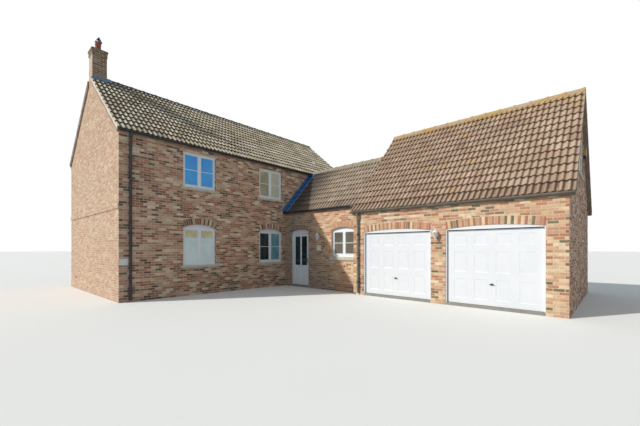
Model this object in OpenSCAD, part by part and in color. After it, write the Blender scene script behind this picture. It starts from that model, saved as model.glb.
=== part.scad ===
/* [House] */
// Width of the tall house across its gables
house_w = 6200; // [5400:50:7400]
// House length from the near gable to the link's front wall
house_fore = 6430; // [6100:50:8000]
// House length from the link's front wall to the far gable
house_aft = 4570; // [4300:50:6000]
// Height of the house roof plane where it passes over the wall face
house_eaves_z = 5080; // [5050:10:5500]
// Pitch of the house roof in degrees
house_pitch = 40; // [36:1:46]
// Height of the first floor above the ground floor
storey_z = 2700; // [2620:10:2780]
// Top of the brick string course on the gables
string_z = 2840; // [2700:10:3000]
// Height of the string course
string_h = 150; // [75:5:225]
// How far the string course stands out
string_out = 25; // [10:1:40]

/* [Link] */
// Length of the low link between house and garage
link_l = 3895; // [3850:5:4600]
// Depth of the link from front wall to rear wall
link_d = 3644; // [3300:10:3700]

/* [Garage] */
// Width of the garage along its front
garage_w = 6040; // [5900:10:6800]
// Depth of the garage from front wall to rear wall
garage_d = 6030; // [5600:10:6600]
// How far the garage front stands forward of the link
garage_step = 240; // [200:5:400]
// Height of the garage roof plane where it passes over the wall face
garage_eaves_z = 2880; // [2840:10:3000]
// Pitch of the garage and link roofs in degrees
garage_pitch = 47.5; // [44:0.5:48]
// Top of the garage's attic floor
attic_z = 2640; // [2580:10:2680]
// Width of the brick piers beside the garage doors
pier_w = 440; // [400:5:560]
// Height where the garage door arches spring
bay_spring = 2060; // [1980:5:2100]
// Rise of the garage door arches
bay_rise = 80; // [50:5:110]

/* [Walls and roofs] */
// Thickness of the outer walls
wall_t = 300; // [260:5:330]
// Height of the floors above the foot of the walls
plinth = 75; // [60:5:150]
// Thickness of the upper floors
floor_t = 200; // [150:5:240]
// Thickness of the roof slopes
roof_t = 120; // [90:5:140]
// How far roof slopes pass the walls at the eaves
eaves_out = 40; // [30:5:70]
// How far the house's roof slopes pass its gables
verge_out = 45; // [20:5:90]
// How far the garage's roof slopes pass its outer gable
garage_verge = 115; // [60:5:150]
// How far the garage's roof slopes pass its inner gable, over the link
garage_lap = 60; // [20:5:90]
// Length of one course of roof tiles down the slope
tile_gauge = 320; // [280:5:350]
// How far the foot of a tile course stands above the course below it
tile_lap = 30; // [15:1:35]
// Outer radius of the ridge tiles
ridge_r = 165; // [150:5:180]
// How far the ridge tiles rise above the line where the slopes meet
ridge_up = 45; // [40:1:60]
// Length of one ridge tile
ridge_tile = 450; // [300:10:600]
// Outer radius of the half-round gutters
gutter_r = 52; // [40:1:60]
// Outer radius of the downpipes
pipe_r = 38; // [30:1:45]
// How far the lead flashing climbs above a roof slope
lead_up = 190; // [120:5:240]

/* [Windows] */
// Width of the house window openings
win_w = 1210; // [900:10:1500]
// Distance from the link's front wall to the first window's middle
win_first = 775; // [760:5:900]
// Distance between the middles of neighbouring windows
win_pitch = 3140; // [2600:10:3400]
// Sill height of the lower windows
low_sill = 945; // [850:5:1050]
// Height of the lower window openings up to the spring of the arch
low_h = 1290; // [1000:10:1320]
// Sill height of the upper windows
up_sill = 3600; // [3500:10:3700]
// Height of the upper window openings
up_h = 1200; // [900:10:1230]
// Width of the link window openings
link_win_w = 1120; // [900:10:1150]
// Distance from the garage wall to the link window's opening
link_win_gap = 100; // [95:5:160]
// Sill height of the link windows
link_sill = 1215; // [1100:5:1300]
// Height of the link window openings up to the spring of the arch
link_win_h = 1000; // [800:10:1060]
// Width of the attic window opening in the garage gable
attic_win_w = 1380; // [1000:10:1500]
// Sill height of the attic window
attic_sill = 3680; // [3550:10:3800]
// Height of the attic window opening
attic_win_h = 1150; // [800:10:1200]
// Distance from the garage gable's face to the attic window frame
attic_reveal = 20; // [15:5:60]
// Rise of the window and front door arches per millimetre of their span
arch_ratio = 0.1; // [0.06:0.01:0.12]
// Height of the soldier bricks in the arches
soldier_h = 215; // [180:5:225]
// Depth of the brick arches and stone sills into the wall
skin_t = 103; // [90:1:120]
// Distance from the wall face to a window frame
reveal = 70; // [60:5:105]
// Width of the window frame members
frame_w = 50; // [45:1:75]
// Width of the bottom member of a window frame
frame_foot = 70; // [50:1:90]
// Width of the middle post between two lights
mullion_w = 45; // [40:5:80]
// Width of the sash members inside the frame
sash_w = 31; // [28:1:45]
// How far a sash stands out in front of its frame
sash_out = 8; // [4:1:12]
// Depth of the window frames
frame_d = 70; // [60:1:90]
// Thickness of the window glass
glass_t = 24; // [18:1:28]
// Height of the stone sills
sill_h = 90; // [70:5:110]
// Height of the link windows' stone sills
link_sill_h = 140; // [90:5:160]
// How far the sills stand out from the wall
sill_out = 45; // [30:5:60]
// How far the sills pass the opening on each side
sill_ear = 90; // [60:5:95]

/* [Front door] */
// Distance from the link's front wall to the front door and its frame
door_reveal = 90; // [70:5:105]
// Distance from the house wall to the front door's opening
door_x = 387; // [350:5:420]
// Width of the front door's opening
door_w = 1055; // [950:5:1100]
// Height where the front door's arch springs
door_spring = 2230; // [2150:5:2240]
// Height of the front door's leaf
door_h = 2130; // [1950:5:2140]
// Thickness of the front door's leaf
door_t = 54; // [44:1:60]
// Clearance around the front door's leaf
door_gap = 8; // [7:1:12]
// Radius of the front door's hinge barrels
barrel_r = 6; // [5:0.5:6.5]
// Width of the door's stiles and rails
stile_w = 110; // [90:5:140]
// Height of the door's panelled bottom part
kick_h = 820; // [600:10:1000]

/* [Garage doors] */
// Distance from the wall face to the garage door leaves
leaf_back = 70; // [65:5:120]
// Distance from the wall face to the garage door frames
frame_back = 8; // [5:1:20]
// Thickness of the garage door leaves
leaf_t = 40; // [34:1:50]
// Space for arms and pins on each side of a leaf
leaf_side = 29; // [28:1:36]
// Clearance under a leaf
leaf_foot = 9; // [8:1:15]
// Space between a leaf and the head of its frame
leaf_head = 20; // [18:1:30]
// Height of the outer part of a leaf that stands out as a canopy when open
canopy = 720; // [500:10:800]
// Width of the plain strips between the pressed panels of a leaf
panel_gap = 175; // [100:5:200]
// Thickness of the lifting arms
arm_t = 8; // [6:1:9]
// Width of the lifting arms
arm_w = 36; // [30:1:40]
// Radius of the pins in the arms
arm_pin = 8; // [6:0.5:9]
// Running clearance of the pins in the arms
pin_gap = 0.3; // [0.2:0.1:0.5]
// Thickness of the steel frame plates on the jambs
jamb_t = 5; // [4:0.5:6]
// Distance from the leaf's top edge down to the arm pivot's line
pivot_drop = 18; // [16:1:30]

/* [Chimney] */
// Side of the square chimney stack
stack_w = 440; // [400:10:560]
// Height of the chimney stack above the ridge of the roof
stack_rise = 920; // [700:10:1400]
// How far each of the two steps of the cap stands out
cap_step = 16; // [8:1:35]
// Height of one brick course
course_h = 75; // [65:1:85]
// Diameter of the chimney pot
pot_w = 180; // [160:5:240]
// Height of the chimney pot
pot_h = 350; // [250:10:450]
// Height of the tent cowl above the pot
cowl_h = 150; // [120:5:240]
// How far the chimney's lead climbs above the roof slopes
stack_lead_up = 95; // [80:5:150]

/* [Fittings] */
// Radius of the glass of the wall lanterns
lantern_r = 60; // [50:1:75]
// Height of the glass of the wall lanterns
lantern_h = 200; // [160:5:240]
// Distance from the wall to the middle of a lantern
lantern_out = 105; // [95:1:130]
// Height of the link lantern's arm above the floor
link_lantern_z = 2105; // [1900:5:2150]
// Height of the garage lantern's arm above the floor
garage_lantern_z = 2035; // [1900:5:2080]
// Distance from the house wall to the link lantern
link_lantern_x = 2020; // [1900:10:2150]
// Width of the bare plate beside the front door
plate_w = 210; // [150:5:240]
// Height of the bare plate beside the front door
plate_h = 200; // [120:5:240]
// Height of that plate's foot above the floor
plate_z = 1440; // [1200:10:1500]
// Width of the bare plate near the house's corner
side_plate_w = 235; // [180:5:240]
// Height of the bare plate near the house's corner
side_plate_h = 185; // [120:5:240]
// Height of that plate's foot above the floor
side_plate_z = 1020; // [900:10:1400]
// Thickness of the bare plates
plate_t = 6; // [4:1:10]
// Radius of the alarm case's round ends
alarm_r = 105; // [90:1:120]
// Height of the alarm case between its round ends
alarm_h = 120; // [80:5:140]
// How far the alarm case stands out from the wall
alarm_d = 80; // [60:1:100]

/* [Hidden] */
$fn = 64;

// The wide arcs of the arches need finer steps than small rounds
arch_fn = 720;

// A cut runs this far past the faces it opens
eps = 1;
// Sloping faces seat on each other with this bed between them
bed = 0.05;

// Plan lines: x = 0 is the house's courtyard wall, y = 0 the link's front wall
house_y0 = -house_fore;
house_y1 = house_aft;
ridge_x = -house_w / 2;
garage_x0 = link_l;
garage_x1 = link_l + garage_w;
garage_y0 = -garage_step;
garage_y1 = garage_d - garage_step;
garage_c = (garage_y0 + garage_y1) / 2;
link_c = link_d / 2;

// The link's front slope lies in the garage's front slope
link_eaves_z = garage_eaves_z + garage_step * tan(garage_pitch);
gutter_drop = 35;
gutter_t = 4;
gutter_out = eaves_out + 2 * gutter_r;

// The model stands with the middle of its outline over the origin
x_lo = -house_w - gutter_out;
x_hi = garage_x1 + max(garage_verge, alarm_d);
y_lo = house_y0 - max(verge_out, 2 * cap_step);
y_hi = garage_y1 + gutter_out;

// Vertical thickness of a slope, and its top and underside a distance d from the ridge
function plumb(pitch) = roof_t / cos(pitch);
function slope_z(w, zf, pitch, d) = zf + (w - d) * tan(pitch);
function under_z(w, zf, pitch, d) = slope_z(w, zf, pitch, d) - plumb(pitch);
// The boxed eaves end in a level soffit a little above the wall's top edge
soffit_up = 35;
function soffit_z(w, zf, pitch) = under_z(w, zf, pitch, w) + soffit_up;

module place() translate([-(x_lo + x_hi) / 2, -(y_lo + y_hi) / 2, plinth]) children();

// A flat profile in x and z run along y, and one in y and z run along x
module along_y(y0, y1) translate([0, y1, 0]) rotate([90, 0, 0]) linear_extrude(y1 - y0) children();
module along_x(x0, x1) translate([x0, 0, 0]) rotate([90, 0, 90]) linear_extrude(x1 - x0) children();

// Tile tops in section from ridge to eaves: each course rises to its foot, then steps down
ridge_gap = 10;
tile_head = 8;
function tile_tops(w, zf, pitch) = let (
    long = (w + eaves_out) / cos(pitch),
    n = round(long / tile_gauge)
) concat(
    [[ridge_gap, slope_z(w, zf, pitch, ridge_gap) + tile_head / cos(pitch)]],
    [for (i = [1 : n], h = [tile_head + tile_lap, i < n ? tile_head : 0])
        [i * long / n * cos(pitch) + h * sin(pitch),
            slope_z(w, zf, pitch, i * long / n * cos(pitch)) + h * cos(pitch)]]
);
// How far the lowest course of tiles reaches out over the gutter
function tile_reach(pitch) = (tile_head + tile_lap) * sin(pitch);

// One roof slope in section: c is the ridge line, side is 1 or -1, w the half span
module slope(c, side, w, zf, pitch) {
    low = [
        [w + eaves_out, soffit_z(w, zf, pitch)], [w, soffit_z(w, zf, pitch)],
        [w, under_z(w, zf, pitch, w)], [ridge_gap, under_z(w, zf, pitch, ridge_gap)],
    ];
    polygon([for (p = concat(tile_tops(w, zf, pitch), low)) [c + side * p[0], p[1]]]);
}

// Space up to the tile tops of both slopes, for ridge tiles and lead to seat on
module tiled(c, w, zf, pitch) {
    tops = [for (p = tile_tops(w, zf, pitch)) p + [2 * bed, bed]];
    translate([c, 0]) polygon(concat(
        tops, [for (i = [len(tops) - 1 : -1 : 0]) [-tops[i][0], tops[i][1]]]
    ));
}

// Space under both slopes of a roof, for walls and gables to fill
module under_roof(c, w, zf, pitch) {
    polygon([
        [c - w, -plinth], [c + w, -plinth],
        [c + w, under_z(w, zf, pitch, w) - bed], [c, under_z(w, zf, pitch, 0) - bed],
        [c - w, under_z(w, zf, pitch, w) - bed],
    ]);
}
module house_under() under_roof(ridge_x, house_w / 2, house_eaves_z, house_pitch);
module link_under() under_roof(link_c, link_d / 2, link_eaves_z, garage_pitch);
module garage_under() under_roof(garage_c, garage_d / 2, garage_eaves_z, garage_pitch);

// Outline of an opening with a segmental head: middle, foot, width, side height and rise
function arch_r(w, rise) = (w * w / 4 + rise * rise) / (2 * rise);
module opening(mid, z, w, h, rise) {
    translate([mid - w / 2, z]) square([w, h]);
    if (rise > 0) translate([mid, z + h]) intersection() {
        translate([-w / 2, -eps]) square([w, rise + 2 * eps]);
        translate([0, rise - arch_r(w, rise)]) circle(arch_r(w, rise), $fn = arch_fn);
    }
}
// The ring of soldier bricks over an opening
module soldiers(mid, z, w, h, rise) {
    r = arch_r(w, rise);
    translate([mid, z + h]) intersection() {
        translate([-w / 2, -w]) square([w, w + rise + soldier_h + eps]);
        translate([0, rise - r]) difference() {
            circle(r + soldier_h, $fn = arch_fn);
            circle(r, $fn = arch_fn);
        }
        translate([-w / 2, 0]) square([w, rise + soldier_h + eps]);
    }
}

// Every window: wall, middle, sill, width, side height and rise
// Walls: "E" and "W" on the house, "F" and "B" on the link, "G" in the garage gable
west_cols = 3;
west_mid = (house_y0 + house_y1) / 2;
link_win_mid = link_l - link_win_gap - link_win_w / 2;
function low_win(wall, mid) = [wall, mid, low_sill, win_w, low_h, win_w * arch_ratio];
function up_win(wall, mid) = [wall, mid, up_sill, win_w, up_h, 0];
WINDOWS = concat(
    [for (i = [0, 1]) low_win("E", -win_first - i * win_pitch)],
    [for (i = [0, 1]) up_win("E", -win_first - i * win_pitch)],
    [for (i = [0 : west_cols - 1]) low_win("W", west_mid + (i - (west_cols - 1) / 2) * win_pitch)],
    [for (i = [0 : west_cols - 1]) up_win("W", west_mid + (i - (west_cols - 1) / 2) * win_pitch)],
    [for (wall = ["F", "B"])
        [wall, link_win_mid, link_sill, link_win_w, link_win_h, link_win_w * arch_ratio]],
    [["G", garage_c, attic_sill, attic_win_w, attic_win_h, 0]]
);
function on(walls) = [for (w = WINDOWS) if (len(search(w[0], walls)) > 0) w];
module window_outline(w) opening(w[1], w[2], w[3], w[4], w[5]);

// The front door's and the garage bays' arched openings
door_mid = door_x + door_w / 2;
door_rise = door_w * arch_ratio * 0.8;
module door_outline() opening(door_mid, -plinth - eps, door_w, door_spring + plinth + eps, door_rise);
bay_w = (garage_w - 3 * pier_w) / 2;
bay_mids = [for (i = [0, 1]) garage_x0 + pier_w + bay_w / 2 + i * (bay_w + pier_w)];
module bay_outline(mid) opening(mid, -plinth - eps, bay_w, bay_spring + plinth + eps, bay_rise);

// Runs a profile from depth a to depth b into the wall that a window stands in
module into_wall(wall, a, b) {
    if (wall == "E") along_x(-b, -a) children();
    if (wall == "W") along_x(-house_w + a, -house_w + b) children();
    if (wall == "F") along_y(a, b) children();
    if (wall == "B") along_y(link_d - b, link_d - a) children();
    if (wall == "G") along_x(garage_x1 - b, garage_x1 - a) children();
}
function sill_of(w) = w[0] == "F" || w[0] == "B" ? link_sill_h : sill_h;
module sill_outline(w) {
    translate([w[1] - w[3] / 2 - sill_ear, w[2] - sill_of(w)])
        square([w[3] + 2 * sill_ear, sill_of(w)]);
}
// What the windows of some walls take out of the brickwork
module window_cuts(walls) {
    for (w = on(walls)) {
        into_wall(w[0], -eps, wall_t + eps) window_outline(w);
        into_wall(w[0], -eps, skin_t) sill_outline(w);
        if (w[5] > 0) into_wall(w[0], -eps, skin_t) soldiers(w[1], w[2], w[3], w[4], w[5]);
    }
}

brick = "#b08a6c";
tile = "#8d7564";
white = "#f0efea";
stone = "#cdbf9e";
lead = "#5d6a78";
iron = "#2b2b2c";

// Floors

module slab(x0, y0, x1, y1, z0, z1) translate([x0, y0, z0]) cube([x1 - x0, y1 - y0, z1 - z0]);

module ground_floors() color("#8f8d83") place() {
    slab(-house_w + wall_t, house_y0 + wall_t, -wall_t, house_y1 - wall_t, -plinth, 0);
    slab(0, wall_t, link_l, link_d - wall_t, -plinth, 0);
    slab(door_x, 0, door_x + door_w, wall_t, -plinth, 0);
    slab(garage_x0 + wall_t, garage_y0 + wall_t, garage_x1 - wall_t, garage_y1 - wall_t, -plinth, 0);
    for (m = bay_mids) slab(m - bay_w / 2, garage_y0, m + bay_w / 2, garage_y0 + wall_t, -plinth, 0);
}

ceiling_t = 100;
ceiling_z = house_eaves_z - plumb(house_pitch) + 20;
module upper_floors() color("#a58a63") place() {
    slab(-house_w + wall_t, house_y0 + wall_t, -wall_t, house_y1 - wall_t, storey_z - floor_t, storey_z);
    slab(-house_w + wall_t, house_y0 + wall_t, -wall_t, house_y1 - wall_t,
        ceiling_z - ceiling_t, ceiling_z);
    slab(garage_x0 + wall_t, garage_y0 + wall_t, garage_x1 - wall_t, garage_y1 - wall_t,
        attic_z - floor_t, attic_z);
}

// House walls and roof

stack_y1 = house_y0 + stack_w;
stack_top = slope_z(house_w / 2, house_eaves_z, house_pitch, 0) + stack_rise;
stack_foot = under_z(house_w / 2, house_eaves_z, house_pitch, stack_w / 2) - 4 * course_h;
kneeler_n = 3;
module kneeler() {
    soffit = soffit_z(house_w / 2, house_eaves_z, house_pitch) - bed;
    for (i = [0 : kneeler_n - 1]) {
        z = soffit - (kneeler_n - i) * course_h;
        translate([0, z]) square([eaves_out * (i + 1) / kneeler_n, course_h]);
        translate([-eps, z]) square([2 * eps, course_h - (i < kneeler_n - 1 ? 0 : soffit_up)]);
    }
}
module gable(y0, face) {
    difference() {
        along_y(y0, y0 + wall_t) {
            house_under();
            kneeler();
            translate([2 * ridge_x, 0]) mirror([1, 0]) kneeler();
        }
        if (face < 0) along_y(y0 - eps, y0 + wall_t + eps)
            translate([ridge_x - stack_w / 2, stack_foot]) square([stack_w, stack_top]);
    }
    y = face < 0 ? y0 - string_out : y0 + wall_t - eps;
    slab(-house_w, y, 0, y + string_out + eps, string_z - string_h, string_z);
}
module house_gables() color(brick) place() {
    gable(house_y0, -1);
    gable(house_y1 - wall_t, 1);
}

module house_side(x0, walls) {
    difference() {
        along_y(house_y0 + wall_t, house_y1 - wall_t) intersection() {
            house_under();
            translate([x0, -plinth]) square([wall_t, house_eaves_z * 2]);
        }
        window_cuts(walls);
    }
}
module house_wall_east() color(brick) place() house_side(-wall_t, "E");
module house_wall_west() color(brick) place() house_side(-house_w, "W");

module house_roof() color(tile) place() {
    difference() {
        for (side = [-1, 1]) along_y(house_y0 - verge_out, house_y1 + verge_out)
            slope(ridge_x, side, house_w / 2, house_eaves_z, house_pitch);
        slab(ridge_x - stack_w / 2, house_y0 - verge_out - eps, ridge_x + stack_w / 2, stack_y1,
            stack_foot, stack_top);
    }
}

// Chimney

module chimney_stack() color(brick) place() {
    slab(ridge_x - stack_w / 2, house_y0, ridge_x + stack_w / 2, stack_y1, stack_foot, stack_top);
    for (i = [1, 2]) slab(ridge_x - stack_w / 2 - i * cap_step, house_y0 - i * cap_step,
        ridge_x + stack_w / 2 + i * cap_step, stack_y1 + i * cap_step,
        stack_top - (5 - 2 * i) * course_h, stack_top);
}

pot_t = 25;
pot_y = (house_y0 + stack_y1) / 2;
pot_foot_h = 60;
pot_rim_h = 45;
pot_rim_down = 75;
// A band round the pot from z0 to z1
module pot_band(out, z0, z1) translate([0, 0, z0]) linear_extrude(z1 - z0) difference() {
    circle(pot_w / 2 + out);
    circle(pot_w / 2 - pot_t);
}
module chimney_pot() color("#b4583a") place() translate([ridge_x, pot_y, stack_top]) {
    pot_band(0, 0, pot_h);
    pot_band(8, 0, pot_foot_h);
    pot_band(6, pot_h - pot_rim_down - pot_rim_h, pot_h - pot_rim_down);
}

// A sheet bent over the pot like a tent, open at both ends
cowl_l = 230;
cowl_t = 5;
cowl_drop = 20;
cowl_seat = 5;
module chimney_cowl() color("#3f4750") place() translate([ridge_x, pot_y, stack_top + pot_h])
    difference() {
        half = pot_w / 2;
        lean = half / cowl_h;
        up = cowl_t * sqrt(1 + 1 / (lean * lean));
        foot = half + cowl_drop * lean;
        along_x(-cowl_l / 2, cowl_l / 2) translate([0, -cowl_seat]) polygon([
            [-foot, -cowl_drop], [0, cowl_h], [foot, -cowl_drop],
            [foot, up - cowl_drop], [0, cowl_h + up], [-foot, up - cowl_drop],
        ]);
        translate([0, 0, -pot_h]) cylinder(r = half + bed, h = pot_h + bed);
    }

// Link

module link_front(x0, x1) {
    difference() {
        along_x(x0, x1) intersection() {
            link_under();
            translate([0, -plinth]) square([wall_t, house_eaves_z]);
        }
        window_cuts("F");
        along_y(-eps, wall_t + eps) door_outline();
        along_y(-eps, skin_t) soldiers(door_mid, 0, door_w, door_spring, door_rise);
    }
}
module link_wall_left() color(brick) place() link_front(0, door_x);
module link_wall_right() color(brick) place() link_front(door_x + door_w, link_l);
module link_wall_over() color(brick) place() link_front(door_x, door_x + door_w);
module link_wall_rear() color(brick) place() difference() {
    along_x(0, link_l) intersection() {
        link_under();
        translate([link_d - wall_t, -plinth]) square([wall_t, house_eaves_z]);
    }
    window_cuts("B");
}

// The link's slopes stop short of the house's eaves where they run up to them, and at the
// garage's slopes, which lap over the link
house_edge = eaves_out + tile_reach(house_pitch) + 5;
house_soffit = soffit_z(house_w / 2, house_eaves_z, house_pitch) - bed;
link_roof_x1 = link_l - garage_lap;
module link_roof() color(tile) place() difference() {
    for (side = [-1, 1]) along_x(0, link_roof_x1)
        slope(link_c, side, link_d / 2, link_eaves_z, garage_pitch);
    slab(-eps, -link_d, house_edge, 2 * link_d, house_soffit, 2 * house_soffit);
}

// Garage

module garage_front() {
    difference() {
        along_x(garage_x0, garage_x1) intersection() {
            garage_under();
            translate([garage_y0, -plinth]) square([wall_t, house_eaves_z]);
        }
        for (m = bay_mids) {
            along_y(garage_y0 - eps, garage_y0 + wall_t + eps) bay_outline(m);
            along_y(garage_y0 - eps, garage_y0 + skin_t) soldiers(m, 0, bay_w, bay_spring, bay_rise);
        }
    }
}
module below_spring(inside) {
    if (inside) intersection() {
        children();
        slab(garage_x0, garage_y0, garage_x1, garage_y0 + wall_t, -plinth, bay_spring);
    }
    else difference() {
        children();
        slab(garage_x0 - eps, garage_y0 - eps, garage_x1 + eps, garage_y0 + wall_t + eps,
            -plinth - eps, bay_spring);
    }
}
module garage_piers() color(brick) place() below_spring(true) garage_front();
module garage_wall_over() color(brick) place() below_spring(false) garage_front();
module garage_wall_rear() color(brick) place() along_x(garage_x0 + wall_t, garage_x1 - wall_t)
    intersection() {
        garage_under();
        translate([garage_y1 - wall_t, -plinth]) square([wall_t, house_eaves_z]);
    }
module garage_gable(x0) {
    difference() {
        along_x(x0, x0 + wall_t) garage_under();
        slab(x0 - eps, garage_y0 - eps, x0 + wall_t + eps, garage_y0 + wall_t, -plinth - eps,
            house_eaves_z);
        window_cuts("G");
    }
}
module garage_gable_left() color(brick) place() garage_gable(garage_x0);
module garage_gable_right() color(brick) place() garage_gable(garage_x1 - wall_t);
module garage_roof() color(tile) place()
    for (side = [-1, 1]) along_x(link_roof_x1, garage_x1 + garage_verge)
        slope(garage_c, side, garage_d / 2, garage_eaves_z, garage_pitch);

// Ridge tiles: half-round caps bedded on the tiles of both slopes, with a collar at each joint
module ridge_cap(c, w, zf, pitch, r) difference() {
    translate([c, slope_z(w, zf, pitch, 0) + ridge_up - ridge_r]) circle(r);
    tiled(c, w, zf, pitch);
}
collar = 12;
collar_l = 60;
function tile_count(l) = max(1, round(l / ridge_tile));
module ridge_tiles() color("#6f665c") place() {
    house_run = house_y1 + verge_out - stack_y1;
    along_y(stack_y1, house_y1 + verge_out)
        ridge_cap(ridge_x, house_w / 2, house_eaves_z, house_pitch, ridge_r);
    for (i = [1 : tile_count(house_run)]) {
        y = stack_y1 + i * house_run / tile_count(house_run);
        along_y(y - collar_l, y)
            ridge_cap(ridge_x, house_w / 2, house_eaves_z, house_pitch, ridge_r + collar);
    }
    link_run = link_roof_x1 - house_edge;
    along_x(house_edge, link_roof_x1)
        ridge_cap(link_c, link_d / 2, link_eaves_z, garage_pitch, ridge_r);
    for (i = [1 : tile_count(link_run)]) {
        x = house_edge + i * link_run / tile_count(link_run);
        along_x(x - collar_l, x)
            ridge_cap(link_c, link_d / 2, link_eaves_z, garage_pitch, ridge_r + collar);
    }
    garage_run = garage_x1 + garage_verge - link_roof_x1;
    along_x(link_roof_x1, garage_x1 + garage_verge)
        ridge_cap(garage_c, garage_d / 2, garage_eaves_z, garage_pitch, ridge_r);
    for (i = [1 : tile_count(garage_run)]) {
        x = link_roof_x1 + i * garage_run / tile_count(garage_run);
        along_x(x - collar_l, x)
            ridge_cap(garage_c, garage_d / 2, garage_eaves_z, garage_pitch, ridge_r + collar);
    }
}

// Lead where the link's slopes meet the house wall, and round the chimney
lead_t = 8;
module lead_flashing() color(lead) place() {
    for (side = [-1, 1]) intersection() {
        along_x(0, lead_t) difference() {
            polygon([for (p = [[ridge_gap, 0], [link_d / 2 + eaves_out, 0],
                    [link_d / 2 + eaves_out, lead_up], [ridge_gap, lead_up]])
                [link_c + side * p[0], slope_z(link_d / 2, link_eaves_z, garage_pitch, p[0]) + p[1]]]);
            tiled(link_c, link_d / 2, link_eaves_z, garage_pitch);
        }
        slab(-eps, -link_d, 2 * lead_t, 2 * link_d, 0, house_soffit);
    }
    collar_w = stack_w / 2 + lead_t;
    difference() {
        along_y(house_y0, stack_y1 + lead_t) difference() {
            polygon([for (p = [[-collar_w, 0], [0, 0], [collar_w, 0], [collar_w, stack_lead_up],
                    [0, stack_lead_up], [-collar_w, stack_lead_up]])
                [ridge_x + p[0],
                    slope_z(house_w / 2, house_eaves_z, house_pitch, abs(p[0])) + p[1]]]);
            tiled(ridge_x, house_w / 2, house_eaves_z, house_pitch);
        }
        slab(ridge_x - stack_w / 2, house_y0 - eps, ridge_x + stack_w / 2, stack_y1, 0, stack_top);
        along_y(stack_y1, stack_y1 + 2 * lead_t)
            ridge_cap(ridge_x, house_w / 2, house_eaves_z, house_pitch, ridge_r + collar);
    }
}

// Rainwater goods

module gutter_section(c, side, w, zf, pitch) {
    z = slope_z(w, zf, pitch, w + eaves_out) - gutter_drop;
    translate([c + side * (w + eaves_out + gutter_r), z]) difference() {
        circle(gutter_r);
        circle(gutter_r - gutter_t);
        translate([-2 * gutter_r, 0]) square(4 * gutter_r);
    }
}
module house_gutter(side, y0, y1)
    along_y(y0, y1) gutter_section(ridge_x, side, house_w / 2, house_eaves_z, house_pitch);
// The courtyard gutter stops where the link's roof rises to it
house_gutter_low = slope_z(house_w / 2, house_eaves_z, house_pitch, house_w / 2 + eaves_out)
    - gutter_drop - gutter_r;
gutter_stop = (link_eaves_z + link_d / 2 * tan(garage_pitch) - house_gutter_low) / tan(garage_pitch)
    + 2 * gutter_r;
module gutters() color(iron) place() {
    house_gutter(-1, house_y0, house_y1);
    house_gutter(1, house_y0, link_c - gutter_stop);
    house_gutter(1, link_c + gutter_stop, house_y1);
    for (side = [-1, 1]) {
        along_x(lead_t, link_roof_x1 - lead_t)
            gutter_section(link_c, side, link_d / 2, link_eaves_z, garage_pitch);
        along_x(link_roof_x1, garage_x1 + garage_verge)
            gutter_section(garage_c, side, garage_d / 2, garage_eaves_z, garage_pitch);
    }
}

// A pipe down the wall with a swan neck from the gutter's outlet, drawn out along +y
pipe_off = pipe_r + 18;
pipe_foot = -plinth + 60;
neck_drop = 260;
socket_h = 80;
socket_t = 6;
clip_h = 45;
module pipe_run(gutter_z) {
    neck = eaves_out + gutter_r - pipe_off;
    low = gutter_z - gutter_r - socket_h - neck_drop;
    translate([0, pipe_off, pipe_foot]) cylinder(r = pipe_r, h = low - pipe_foot);
    translate([0, pipe_off, low - socket_h]) cylinder(r = pipe_r + socket_t, h = socket_h + clip_h / 2);
    translate([0, pipe_off, low]) rotate([-atan2(neck, neck_drop), 0, 0])
        cylinder(r = pipe_r - 2, h = norm([neck, neck_drop]));
    translate([0, pipe_off + neck, low + neck_drop - socket_h / 2])
        cylinder(r = pipe_r + socket_t, h = socket_h * 1.5);
    for (z = [0.15, 0.5, 0.85]) translate([0, 0, pipe_foot + z * (low - socket_h - pipe_foot)]) {
        translate([0, pipe_off, 0]) cylinder(r = pipe_r + socket_t, h = clip_h);
        translate([-pipe_r, 0, 0]) cube([2 * pipe_r, pipe_off, clip_h]);
    }
}
house_pipe_in = 300;
garage_pipe_in = 225;
function gutter_line(w, zf, pitch) = slope_z(w, zf, pitch, w + eaves_out) - gutter_drop;
module downpipes() color(iron) place() {
    house_z = gutter_line(house_w / 2, house_eaves_z, house_pitch);
    garage_z = gutter_line(garage_d / 2, garage_eaves_z, garage_pitch);
    translate([0, house_y0 + house_pipe_in, 0]) rotate([0, 0, -90]) pipe_run(house_z);
    translate([-house_w, house_y1 - house_pipe_in, 0]) rotate([0, 0, 90]) pipe_run(house_z);
    translate([garage_x0 + garage_pipe_in, garage_y0, 0]) rotate([0, 0, 180]) pipe_run(garage_z);
    translate([garage_x1 - garage_pipe_in, garage_y1, 0]) pipe_run(garage_z);
}

// Arches, sills and windows

module brick_arches() color("#b5673f") place() {
    for (w = WINDOWS) if (w[5] > 0)
        into_wall(w[0], 0, skin_t) soldiers(w[1], w[2], w[3], w[4], w[5]);
    along_y(0, skin_t) soldiers(door_mid, 0, door_w, door_spring, door_rise);
    for (m = bay_mids) along_y(garage_y0, garage_y0 + skin_t)
        soldiers(m, 0, bay_w, bay_spring, bay_rise);
}

// A sill seats in the wall and slopes down outside it
sill_fall = 18;
module sill_section(h) polygon([
    [skin_t, 0], [skin_t, h], [0, h], [-sill_out, h - sill_fall], [-sill_out, 10],
    [-sill_out + 12, 0],
]);
module sill_at(w) {
    long = w[3] + 2 * sill_ear;
    turn = w[0] == "E" ? 90 : w[0] == "W" ? -90 : w[0] == "B" ? 180 : w[0] == "G" ? 90 : 0;
    at = w[0] == "E" ? [0, w[1]] : w[0] == "W" ? [-house_w, w[1]]
        : w[0] == "F" ? [w[1], 0] : w[0] == "B" ? [w[1], link_d] : [garage_x1, w[1]];
    translate([at[0], at[1], w[2] - sill_of(w)]) rotate([0, 0, turn]) translate([-long / 2, 0, 0])
        along_x(0, long) sill_section(sill_of(w));
}
module window_sills() color(stone) place() for (w = WINDOWS) sill_at(w);

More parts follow.
